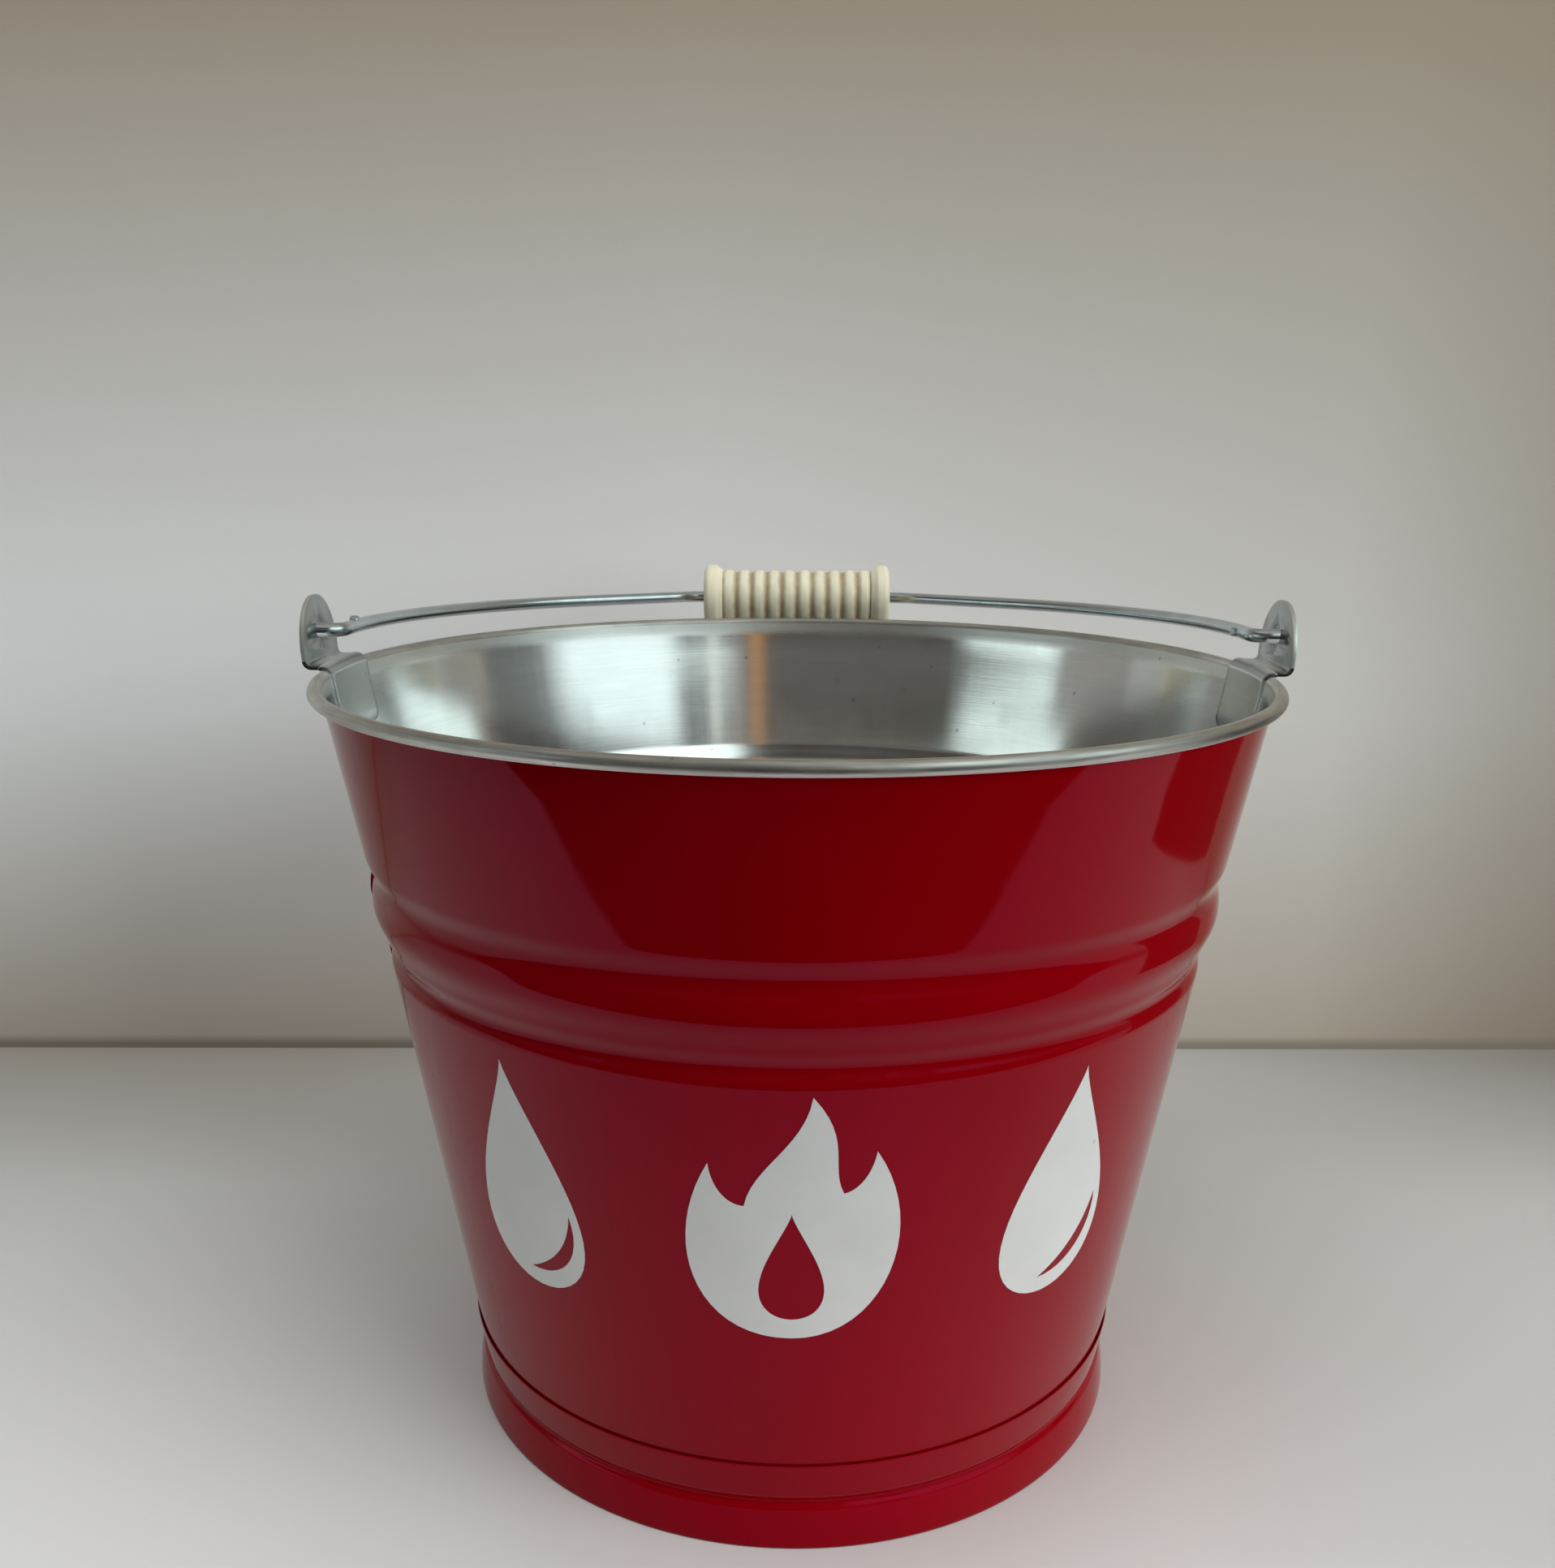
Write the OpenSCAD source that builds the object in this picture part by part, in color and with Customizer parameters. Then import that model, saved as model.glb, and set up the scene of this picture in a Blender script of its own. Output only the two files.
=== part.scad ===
// Steel fire bucket: a painted cone of sheet steel with a wired rim, a seamed-in bottom,
// a foot ring, two ears and a wire bail with a turned grip.
// Millimetres, +Z up. The origin is the centre of the foot ring on the floor. The ears lie on
// the X axis, and the bail lies back towards +Y, with its grip against the outside of the rim.

/* [Bucket] */
// Outer diameter over the rolled rim
rim_d = 290; // [280:1:300]
// Height from the floor to the top of the rim
bucket_h = 229.5; // [215:0.5:245]
// Outer diameter of the side wall, carried on down to the floor
wall_base_d = 198.6; // [190:0.2:206]
// Slope of the lower side wall from upright, in degrees
lower_taper = 10.2; // [9:0.1:11]
// Thickness of the sheet of the side wall
wall_t = 0.5; // [0.4:0.05:0.8]
// Width of the raised lock seam that closes the side wall
seam_w = 6; // [4:0.5:8]
// How far the lock seam stands out of the wall
seam_h = 1; // [0.6:0.1:1.5]
// Place of the lock seam round the wall, in degrees from the right ear
seam_angle = 190; // [20:1:340]

/* [Ribs] */
// Height of the middle of the raised rib above the floor
rib_z = 163; // [155:0.5:175]
// How far the rib stands out of the wall
rib_h = 1.5; // [0.8:0.1:2.5]
// Height of the rib from its lower to its upper edge
rib_w = 17; // [12:0.5:20]
// Depth of the grooves above and below the rib
groove_h = 1.1; // [0.6:0.1:1.6]
// Height of each groove
groove_w = 10; // [7:0.5:12]
// Rise from the middle of the rib to the middle of the upper groove
upper_groove_rise = 9; // [7:0.5:12]
// Drop from the middle of the rib to the middle of the lower groove
lower_groove_drop = 12.5; // [9:0.5:14]
// How far the lower wall stands outside the line of the upper wall
wall_step = 0.5; // [0:0.1:1]

/* [Rim] */
// Diameter of the wire inside the rolled rim
rim_wire_d = 2.8; // [2:0.1:4]
// How far the sheet is rolled round the wire, in degrees
curl_turn = 310; // [270:5:320]

/* [Bottom] */
// Height of the bottom sheet above the floor
bottom_h = 17.5; // [17.5:0.5:19]
// Thickness of the bottom sheet
pan_t = 0.5; // [0.4:0.05:0.8]
// Height of the upturned flange of the bottom
flange_h = 6; // [4:0.5:8]
// Width of the lip that the side wall turns in under the bottom
lip_w = 4; // [2:0.5:6]
// Diameter of the raised middle of the bottom
crown_d = 150; // [100:5:170]
// Rise of the middle of the bottom
crown_h = 2; // [1:0.5:4]
// Height of the bead of sealing compound on the flange
seal_h = 1.5; // [1:0.1:2.5]

/* [Foot ring] */
// Height of the foot ring
ring_h = 26.2; // [25:0.2:30]
// Thickness of the sheet of the foot ring
ring_t = 0.6; // [0.4:0.05:0.8]
// How far the foot's edge stands outside the line of the side wall on the floor
foot_flare = 4.9; // [3:0.1:7]
// Height of the middle of the rolled-in valley
valley_z = 12.5; // [11:0.5:12.5]
// Depth of the valley
valley_h = 0.6; // [0.3:0.1:1]
// Height of the valley from edge to edge
valley_w = 9; // [7:0.5:9]
// Height of the hem folded up inside the foot
hem_h = 4; // [3:0.5:6]

/* [Ears] */
// Distance from the middle of the rolled rim out to the middle of the ear plate at the pivot
ear_out = 5.3; // [4.6:0.1:9]
// Width of the ear plate
ear_w = 32; // [26:1:36]
// Thickness of the ear's sheet
ear_t = 1.2; // [1:0.1:1.4]
// Rise of the ear's rounded top above the rim
ear_rise = 21.5; // [20:0.5:28]
// Lean of the ear plate outwards, in degrees
ear_lean = 4; // [0:0.5:5]
// Inner radius of the bend between the plate and the web over the rim
ear_bend_r = 1.5; // [1:0.1:2]
// Width of the tab that is spot-welded inside the wall
tab_w = 36; // [30:1:40]
// Drop of the tab below the rim
tab_drop = 20; // [16:1:26]
// Radius of the tab's lower corners
tab_corner_r = 5; // [2:0.5:7]
// Width of the slot below the pivot hole
slot_w = 2.2; // [1.6:0.1:3]
// Length of the slot below the edge of the hole
slot_l = 2.9; // [1.5:0.1:3.5]

/* [Bail] */
// Diameter of the bail's wire
wire_d = 4.4; // [4:0.1:4.6]
// Rise of the pivots above the rim
pivot_rise = 10.5; // [9:0.5:12]
// Distance from the middle of the rolled rim out to the middle of the grip, measured flat
grip_out = 9.5; // [7:0.5:14]
// Distance from the pivots to the centre of the bow
bow_rise = 11; // [8:0.5:14]
// Radius of the bend beside each end of the grip
kink_r = 14; // [8:1:14]
// Radius of the bend beside each ear
elbow_r = 5; // [3:0.5:5]
// How far the edge of the peened head outside each ear stands past the pivot hole
head_lip = 0.3; // [0.2:0.1:0.8]
// Height of the peened head
head_h = 2.4; // [1.5:0.1:3]
// Diameter of the nib that is pressed out of the wire beside each ear
nib_d = 3.6; // [3:0.1:4.4]
// How far a nib stands out of the wire
nib_h = 1.1; // [0.6:0.1:1.5]
// Thickness of a nib across the wire
nib_t = 2.8; // [2:0.1:4]
// Distance from the pivots to the nibs
nib_at = 15; // [14:0.5:20]
// How far the right nib is turned from the top of the wire towards the bucket, in degrees
right_nib_turn = 90; // [0:5:90]

/* [Grip] */
// Length of the grip
grip_l = 75; // [65:1:76]
// Diameter over the ridges
ridge_d = 22; // [20:0.5:24]
// Depth of the grooves between the ridges
ridge_h = 1; // [0.5:0.1:1.5]
// Distance from ridge to ridge
ridge_pitch = 6.1; // [4.5:0.1:8]
// Number of whole ridges
ridge_count = 8; // [6:1:8]
// Diameter of the end collars
collar_d = 26; // [24:0.5:28]
// Width of each end collar
collar_w = 7.6; // [5:0.2:8]
// Radius of the collars' rounded edge
collar_round = 2.4; // [1:0.2:2.4]

/* [Clearances] */
// Gap between the rolled sheet and the wire in it
rim_fit = 0.1; // [0.05:0.05:0.2]
// Gap between sheets that are seamed or welded together
sheet_fit = 0.05; // [0.02:0.01:0.1]
// Gap between the foot ring and the side wall
ring_fit = 0.1; // [0.05:0.05:0.3]
// Gap between the ear and the rolled rim
ear_fit = 0.3; // [0.2:0.1:0.5]
// Gap between moving pieces, such as the wire in its hole and the grip on the rim
play = 0.3; // [0.2:0.05:0.4]
// Gap round the wire in its pivot hole
hole_fit = 0.7; // [0.6:0.05:0.9]
// Gap round the wire in the bore of the grip
bore_fit = 0.3; // [0.25:0.05:0.6]
// Gap between the ear plate and the peened head
head_play = 0.55; // [0.5:0.05:1]
// Length of straight wire between the ear plate and the bend inside it
elbow_gap = 1.7; // [1.5:0.1:4]
// Length of straight wire between the end of the grip and the bend beside it
kink_gap = 0.6; // [0.4:0.1:3]

/* [Hidden] */
$fn = 96;

// Steps of the wall's profile through the ribs, and of the foot ring's valley
rib_steps = 48;
valley_steps = 16;
// Height over which the wall passes from the lower slope to the upper one
step_blend = 5;
// Width of the ramp round the raised middle of the bottom
crown_ramp = 6;
// Height below the rim's centre where the ear's tab starts to lie on the wall
tab_seat = 5.5;
// Gap between the lock seam and the curl above it or the foot ring below it
seam_end = 1;
// Lap of each straight length of the bail over its bends, where the wire is a hair thinner
lap = 0.2;
bend_thinning = 0.04;

// Rolled rim
curl_d = rim_wire_d + 2 * (wall_t + rim_fit);
curl_z = bucket_h - curl_d / 2;
curl_r = (rim_d - curl_d) / 2;

// Side wall
wall_top_r = curl_r - curl_d / 2 + wall_t;
step_z = rib_z - lower_groove_drop - step_blend / 2;
step_r = lower_r(step_z) - wall_step;
lip_z = bottom_h - wall_t;
rib_low = rib_z - lower_groove_drop - groove_w / 2;
rib_high = rib_z + upper_groove_rise + groove_w / 2;

function lower_r(z) = wall_base_d / 2 + z * tan(lower_taper);
function upper_r(z) = step_r + (wall_top_r - step_r) * (z - step_z) / (curl_z - step_z);
function clamped(x) = min(1, max(0, x));
function eased(x) = clamped(x) * clamped(x) * (3 - 2 * clamped(x));
function step_share(z) = eased((z - step_z) / step_blend + 0.5);
function plain_r(z) = lower_r(z) + (upper_r(z) - lower_r(z)) * step_share(z);
function bell(z, middle, width) =
    abs(z - middle) < width / 2 ? (1 + cos(360 * (z - middle) / width)) / 2 : 0;

// Outer radius of the side wall at a height
function wall_r(z) = plain_r(z)
    + rib_h * bell(z, rib_z, rib_w)
    - groove_h * bell(z, rib_z + upper_groove_rise, groove_w)
    - groove_h * bell(z, rib_z - lower_groove_drop, groove_w);

// Heights at which the wall's profile has a point, between two heights
function wall_heights(from, to) = concat(
    [from],
    [for (i = [0:rib_steps]) rib_low + (rib_high - rib_low) * i / rib_steps],
    [to]
);
function reversed(list) = [for (i = [len(list) - 1:-1:0]) list[i]];

// Profile of a sheet between two heights, from its inner to its outer offset from the wall
function wall_band(from, to, inner, outer) = concat(
    [for (z = wall_heights(from, to)) [wall_r(z) + outer, z]],
    [for (z = reversed(wall_heights(from, to))) [wall_r(z) + inner, z]]
);

// Foot ring
foot_r = wall_base_d / 2 + foot_flare - ring_t;
function ring_plain_r(z) = z > valley_z
    ? wall_r(z) + ring_fit
    : foot_r + (wall_r(valley_z) + ring_fit - foot_r) * z / valley_z;
function ring_r(z) = ring_plain_r(z) - valley_h * bell(z, valley_z, valley_w);
valley_low = max(hem_h, valley_z - valley_w / 2);
valley_step = (valley_z + valley_w / 2 - valley_low) / valley_steps;
ring_heights = concat(
    [0, hem_h],
    [for (i = [1:valley_steps]) valley_low + i * valley_step],
    [ring_h]
);

// Bottom
function pan_r(z) = wall_r(z) - wall_t - sheet_fit;
flange_top = bottom_h + flange_h;

// Ears
ear_x = curl_r + ear_out;
pivot_z = bucket_h + pivot_rise;
wrap_r = curl_d / 2 + ear_fit;
web_z = curl_z + wrap_r;
tab_z = bucket_h - tab_drop;
hole_d = wire_d + 2 * hole_fit;
hole_rise = hole_fit - play;
slot_drop = hole_d / 2 + slot_l;
// The bend's centre, measured from the pivot along the plate and in from its middle
bend_in = ear_bend_r + ear_t / 2;
bend_s = (web_z + ear_t + ear_bend_r - pivot_z - bend_in * sin(ear_lean)) / cos(ear_lean);
bend_x = ear_x - bend_in * cos(ear_lean) + bend_s * sin(ear_lean);
bend_z = web_z + ear_t + ear_bend_r;
plate_top = (bucket_h + ear_rise - pivot_z) / cos(ear_lean);
tab_angle = 2 * asin(tab_w / 2 / curl_r);

// Bail, laid out flat from its pivots: x across, y away from the pivots
elbow_x = ear_x - ear_t / 2 - elbow_gap;
head_x = ear_x + ear_t / 2 + head_play;
head_d = hole_d + 2 * head_lip;
bail_reach = curl_r + grip_out;
bow_r = elbow_x - elbow_r;
// Each arm is tangent to the bow and to the bend beside the grip
kink_x = grip_l / 2 + kink_gap;
kink_y = bail_reach - kink_r - bow_rise;
bow_turn = atan2(kink_y, kink_x) - acos((bow_r - kink_r) / norm([kink_x, kink_y]));
arm_l = kink_y * cos(bow_turn) - kink_x * sin(bow_turn);
bow_end = [bow_r * cos(bow_turn), bow_rise + bow_r * sin(bow_turn)];
nib_turn = asin((nib_at - bow_rise) / bow_r);
nib_rise = (wire_d - nib_d) / 2 + nib_h;
head_ball_r = (head_d * head_d / 4 + head_h * head_h) / (2 * head_h);

// The bail dips until the ridges of its grip come to the rim, or else its wire
rim_reach = norm([curl_r, pivot_z - curl_z]);
grip_seat = (ridge_d + curl_d) / 2 + play;
grip_cos = (bail_reach * bail_reach + rim_reach * rim_reach - grip_seat * grip_seat)
    / (2 * bail_reach * rim_reach);
over_r = curl_r + (curl_d + wire_d) / 2;
over_y = bow_rise + (over_r * over_r - bow_r * bow_r - bow_rise * bow_rise) / (2 * bow_rise);
wire_dip = asin((pivot_rise - wire_d / 2 - play) / over_y);
grip_dip = grip_cos < 1 ? atan((pivot_z - curl_z) / curl_r) - acos(grip_cos) : wire_dip;
rest_dip = min(grip_dip, wire_dip);

// Grip: the radius of the arc that makes a ridge, from its height and pitch
ridge_arc_r = (ridge_pitch * ridge_pitch / 4 + ridge_h * ridge_h) / (2 * ridge_h);

enamel = "#a50d1e";
zinc = "#b9bec0";
ivory = "#d9d3b8";
compound = "#8d8f8c";

// The sheet of the rolled rim, open where its edge comes back to the wall
module curl_section() {
    gap = 360 - curl_turn;
    translate([curl_r, curl_z])
        difference() {
            circle(d = curl_d);
            circle(d = curl_d - 2 * wall_t);
            polygon([
                [0, 0],
                [-2 * curl_d, 0],
                [2 * curl_d * cos(180 + gap / 2), 2 * curl_d * sin(180 + gap / 2)],
                [2 * curl_d * cos(180 + gap), 2 * curl_d * sin(180 + gap)]
            ]);
        }
}

module wall_section() {
    polygon(wall_band(lip_z, curl_z, -wall_t, 0));
    translate([wall_r(lip_z) - lip_w, lip_z])
        square([lip_w - wall_t / 2, wall_t]);
}

module lock_seam() {
    half = asin(seam_w / 2 / wall_r(rib_z));
    low = ring_h + seam_end;
    high = curl_z - curl_d / 2 - seam_end;
    rotate([0, 0, seam_angle - half])
        rotate_extrude(angle = 2 * half)
            polygon(wall_band(low, high, -wall_t / 2, seam_h));
}

module body_shell() {
    color(enamel) {
        rotate_extrude() {
            wall_section();
            curl_section();
        }
        lock_seam();
    }
}

module rim_wire() {
    color(zinc)
        rotate_extrude()
            translate([curl_r, curl_z])
                circle(d = rim_wire_d);
}

module bottom_pan() {
    top = bottom_h + pan_t;
    ramp_r = crown_d / 2 - crown_ramp;
    color(zinc)
        rotate_extrude()
            polygon([
                [0, bottom_h + crown_h],
                [ramp_r, bottom_h + crown_h],
                [crown_d / 2, bottom_h],
                [pan_r(bottom_h), bottom_h],
                [pan_r(flange_top), flange_top],
                [pan_r(flange_top) - pan_t, flange_top],
                [pan_r(top) - pan_t, top],
                [crown_d / 2, top],
                [ramp_r, top + crown_h],
                [0, top + crown_h]
            ]);
}

module bottom_seal() {
    color(compound)
        rotate_extrude()
            polygon([
                [pan_r(flange_top) - pan_t, flange_top],
                [pan_r(flange_top), flange_top],
                [pan_r(flange_top + seal_h), flange_top + seal_h]
            ]);
}

module foot_ring() {
    outer = [for (z = ring_heights) [ring_r(z) + ring_t, z]];
    inner = [for (z = reversed(ring_heights)) if (z >= hem_h) [ring_r(z), z]];
    hem = [[ring_r(hem_h) - ring_t, hem_h], [ring_r(0) - ring_t, 0]];
    color(enamel)
        rotate_extrude()
            polygon(concat(outer, inner, hem));
}

// Outline of the tab, seen from the side, with rounded lower corners
module tab_outline() {
    corner_y = tab_w / 2 - tab_corner_r;
    height = web_z + 2 * ear_t - tab_z;
    translate([-corner_y, 0])
        square([2 * corner_y, height]);
    translate([-tab_w / 2, tab_corner_r])
        square([tab_w, height - tab_corner_r]);
    for (side = [-1, 1])
        translate([side * corner_y, tab_corner_r])
            circle(r = tab_corner_r);
}

// The tab on the inside of the wall and its wrap over the rim, as one curved band
module ear_tab() {
    seat_z = curl_z - tab_seat;
    low_r = pan_r(tab_z);
    seat_r = pan_r(seat_z);
    wrap = [for (a = [180:-10:90]) [curl_r + wrap_r * cos(a), curl_z + wrap_r * sin(a)]];
    over = [
        for (a = [90:10:180])
            [curl_r + (wrap_r + ear_t) * cos(a), curl_z + (wrap_r + ear_t) * sin(a)]
    ];
    intersection() {
        rotate([0, 0, -tab_angle / 2])
            rotate_extrude(angle = tab_angle)
                polygon(concat(
                    [[low_r, tab_z], [seat_r, seat_z]],
                    wrap,
                    [[curl_r + ear_t, web_z], [curl_r + ear_t, web_z + ear_t]],
                    over,
                    [[seat_r - ear_t, seat_z], [low_r - ear_t, tab_z]]
                ));
        translate([0, 0, tab_z])
            rotate([90, 0, 90])
                linear_extrude(rim_d)
                    tab_outline();
    }
}

// The web over the rim and the bend up into the plate, drawn across and extruded to width
module ear_bend() {
    reach = 2 * (ear_bend_r + ear_t);
    translate([0, ear_w / 2, 0])
        rotate([90, 0, 0])
            linear_extrude(ear_w) {
                translate([curl_r, web_z])
                    square([bend_x - curl_r, ear_t]);
                translate([bend_x, bend_z])
                    intersection() {
                        difference() {
                            circle(r = ear_bend_r + ear_t);
                            circle(r = ear_bend_r);
                        }
                        polygon([
                            [0, 0],
                            [0, -reach],
                            [reach, -reach],
                            [reach * cos(ear_lean), -reach * sin(ear_lean)]
                        ]);
                    }
            }
}

// The upright plate with its rounded top, pivot hole and slot
module ear_plate() {
    round_s = plate_top - ear_w / 2;
    difference() {
        translate([ear_x, 0, pivot_z])
            rotate([0, ear_lean, 0])
                rotate([90, 0, 90])
                    translate([0, 0, -ear_t / 2])
                        linear_extrude(ear_t) {
                            translate([0, round_s])
                                circle(d = ear_w);
                            translate([-ear_w / 2, bend_s])
                                square([ear_w, round_s - bend_s]);
                        }
        translate([ear_x - 2 * ear_t, 0, pivot_z + hole_rise])
            rotate([0, 90, 0])
                cylinder(d = hole_d, h = 4 * ear_t);
        translate([ear_x - 2 * ear_t, -slot_w / 2, pivot_z - slot_drop])
            cube([4 * ear_t, slot_w, slot_drop]);
    }
}

module ear() {
    color(zinc) {
        ear_tab();
        ear_bend();
        ear_plate();
    }
}

module ear_right() {
    ear();
}

module ear_left() {
    mirror([1, 0, 0])
        ear();
}

// A straight length of the bail's wire, along +X, lapped over the bend at each end
module rod(length) {
    translate([-lap, 0, 0])
        rotate([0, 90, 0])
            cylinder(d = wire_d, h = length + 2 * lap);
}

// A bend of the bail's wire about the origin, from +X towards +Y
module bend(radius, turn) {
    rotate_extrude(angle = turn)
        translate([radius, 0])
            circle(d = wire_d - bend_thinning);
}

// A nib that a die has pressed out of the wire's side, turned from the top towards the bucket
module nib(turn) {
    rotate([0, 0, nib_turn])
        translate([bow_r, 0, 0])
            rotate([0, -turn, 0])
                translate([0, 0, nib_rise])
                    rotate([0, 90, 0])
                        cylinder(d = nib_d, h = nib_t, center = true);
}

module peened_head() {
    rotate([0, 90, 0])
        intersection() {
            cylinder(d = head_d, h = head_h);
            translate([0, 0, head_h - head_ball_r])
                sphere(r = head_ball_r);
        }
}

// One side of the bail, from its head to the middle of the grip
module bail_side(nib_side) {
    translate([head_x, 0, 0])
        peened_head();
    translate([elbow_x, 0, 0])
        rod(head_x - elbow_x);
    translate([elbow_x, elbow_r, 0])
        rotate([0, 0, 180])
            bend(elbow_r, 90);
    translate([bow_r, elbow_r, 0])
        rotate([0, 0, 90])
            rod(bow_rise - elbow_r);
    translate([0, bow_rise, 0])
        bend(bow_r, bow_turn);
    translate([bow_end[0], bow_end[1], 0])
        rotate([0, 0, 90 + bow_turn])
            rod(arm_l);
    translate([kink_x, bail_reach - kink_r, 0])
        rotate([0, 0, bow_turn])
            bend(kink_r, 90 - bow_turn);
    translate([0, bow_rise, 0])
        nib(nib_side);
}

module bail() {
    color(zinc)
        translate([0, 0, pivot_z])
            rotate([-rest_dip, 0, 0]) {
                bail_side(right_nib_turn);
                mirror([1, 0, 0])
                    bail_side(0);
                translate([-kink_x, bail_reach, 0])
                    rod(2 * kink_x);
            }
}

// A turned collar between two places along the grip, with rounded edges
module collar_section(from) {
    flat = collar_d / 2 - collar_round;
    translate([0, from])
        square([flat, collar_w]);
    translate([0, from + collar_round])
        square([collar_d / 2, collar_w - 2 * collar_round]);
    for (end = [collar_round, collar_w - collar_round])
        translate([flat, from + end])
            circle(r = collar_round);
}

module grip_section() {
    first = -(ridge_count - 1) / 2 * ridge_pitch;
    difference() {
        union() {
            translate([0, -grip_l / 2 + collar_w / 2])
                square([ridge_d / 2 - ridge_h, grip_l - collar_w]);
            for (i = [-1:ridge_count])
                translate([ridge_d / 2 - ridge_arc_r, first + i * ridge_pitch])
                    intersection() {
                        circle(r = ridge_arc_r);
                        translate([0, -ridge_pitch / 2])
                            square([ridge_arc_r, ridge_pitch]);
                    }
            collar_section(-grip_l / 2);
            collar_section(grip_l / 2 - collar_w);
        }
        translate([-1, -grip_l])
            square([wire_d / 2 + bore_fit + 1, 2 * grip_l]);
    }
}

module grip() {
    color(ivory)
        translate([0, 0, pivot_z])
            rotate([-rest_dip, 0, 0])
                translate([0, bail_reach, 0])
                    rotate([0, 90, 0])
                        rotate_extrude()
                            grip_section();
}

body_shell();
rim_wire();
bottom_pan();
bottom_seal();
foot_ring();
ear_left();
ear_right();
bail();
grip();
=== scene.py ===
# %% [markdown]
# A steel fire bucket, built up in Blender on a fixed CAD frame
#
# Fire buckets like this one stood in rows on station platforms. A cone of sheet steel is
# rolled round a wire at its rim, closed by a bottom and a foot ring, and carried by a wire
# bail with a turned grip. Each cell below makes one of these pieces the way the metal
# worker does, or mixes one of its finishes. The CAD model gives the frame: every piece
# here lies where its CAD solid lies, and moves with the same body.

from math import acos, asin, ceil, cos, degrees, hypot, pi, radians, sin, tan

import bpy
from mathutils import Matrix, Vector


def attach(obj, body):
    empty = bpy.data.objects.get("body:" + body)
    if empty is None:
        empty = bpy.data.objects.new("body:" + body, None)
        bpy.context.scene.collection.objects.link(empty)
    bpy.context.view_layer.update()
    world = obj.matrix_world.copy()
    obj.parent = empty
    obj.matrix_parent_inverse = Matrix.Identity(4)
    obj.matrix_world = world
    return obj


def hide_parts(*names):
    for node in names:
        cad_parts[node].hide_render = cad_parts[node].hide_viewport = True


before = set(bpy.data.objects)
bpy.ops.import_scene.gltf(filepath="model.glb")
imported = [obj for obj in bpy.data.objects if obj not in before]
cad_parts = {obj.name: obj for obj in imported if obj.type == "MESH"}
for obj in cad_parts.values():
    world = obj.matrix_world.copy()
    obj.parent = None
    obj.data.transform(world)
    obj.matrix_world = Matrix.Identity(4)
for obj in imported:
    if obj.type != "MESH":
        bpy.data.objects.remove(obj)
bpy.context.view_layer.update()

# %% [markdown]
# The sizes are in millimetres, as on a workshop drawing, and are turned into metres where
# a point is placed. The side wall's profile is one function of the height, because the
# wall, its lock seam, the bottom's flange, the foot ring and the ears' tabs all follow it.
# Numbers typed into each piece would be quicker to write, but pieces would drift apart
# when one of them changed.

# %% Sizes and the wall's profile
MM = 0.001
WALL_T = 0.5
CURL_D, CURL_R, CURL_Z = 4.0, 143.0, 227.5
BASE_R, LOWER_TAPER, WALL_TOP_R = 99.3, 10.2, 141.5
LIP_Z, LIP_W, LIP_BEND_R = 17.0, 4.0, 0.45
RIB_Z, RIB_H, RIB_W = 163.0, 1.5, 17.0
GROOVE_H = 1.1
UPPER_GROOVE_Z, UPPER_GROOVE_W = RIB_Z + 11, 12.4
LOWER_GROOVE_Z, LOWER_GROOVE_W = RIB_Z - 12.5, 10.0
RIB_MARGIN, RIB_STEP, PLAIN_STEP = 7, 0.7, 12
STEP_Z, STEP_IN, STEP_BLEND = 148.0, 0.5, 5.0
ROUND_STEPS = 240


def lower_r(z):
    return BASE_R + z * tan(radians(LOWER_TAPER))


def upper_r(z):
    foot = lower_r(STEP_Z) - STEP_IN
    return foot + (WALL_TOP_R - foot) * (z - STEP_Z) / (CURL_Z - STEP_Z)


def bell(z, middle, width):
    """A smooth bump: 1 in the middle, 0 at its edges."""
    if abs(z - middle) >= width / 2:
        return 0.0
    return (1 + cos(2 * pi * (z - middle) / width)) / 2


def wall_r(z):
    share = min(1, max(0, (z - STEP_Z) / STEP_BLEND + 0.5))
    share = share * share * (3 - 2 * share)
    plain = lower_r(z) + (upper_r(z) - lower_r(z)) * share
    grooves = bell(z, UPPER_GROOVE_Z, UPPER_GROOVE_W) + bell(z, LOWER_GROOVE_Z, LOWER_GROOVE_W)
    return plain + RIB_H * bell(z, RIB_Z, RIB_W) - GROOVE_H * grooves


def heights(low, high, step):
    count = max(1, ceil((high - low) / step))
    return [low + (high - low) * i / count for i in range(count + 1)]


def wall_heights(low, high):
    """Heights from low to high, close together where the rib and the grooves are."""
    ribs = heights(LOWER_GROOVE_Z - RIB_MARGIN, UPPER_GROOVE_Z + RIB_MARGIN, RIB_STEP)
    plain = heights(low, ribs[0], PLAIN_STEP) + ribs + heights(ribs[-1], high, PLAIN_STEP)
    return sorted({round(z, 4) for z in plain if low <= z <= high})


print("wall at floor, rib and rim", lower_r(0), wall_r(RIB_Z), wall_r(CURL_Z))

# %% [markdown]
# Sheet metal and turned wood are both drawn as a line that is spun round an axis, so two
# helpers do most of the work: one draws a chain of edges by extruding a single vertex, as
# by hand, and one spins it. A cylinder pushed into shape would need many loop cuts for
# the ribs, and a boolean of several cones would leave a broken surface where they meet.
# Doubles are merged before the normals are recalculated, and a sheet gets its thickness
# after that, because on a closed shell the recalculation would turn the inner face round.

# %% Helpers for drawing, spinning and finishing a mesh
MERGE_M = 2e-6


def rest():
    if bpy.context.mode != "OBJECT":
        bpy.ops.object.mode_set(mode="OBJECT")
    bpy.ops.object.select_all(action="DESELECT")


def placed(place):
    """A point in metres, from millimetres."""
    return Vector(place) * MM


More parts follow.
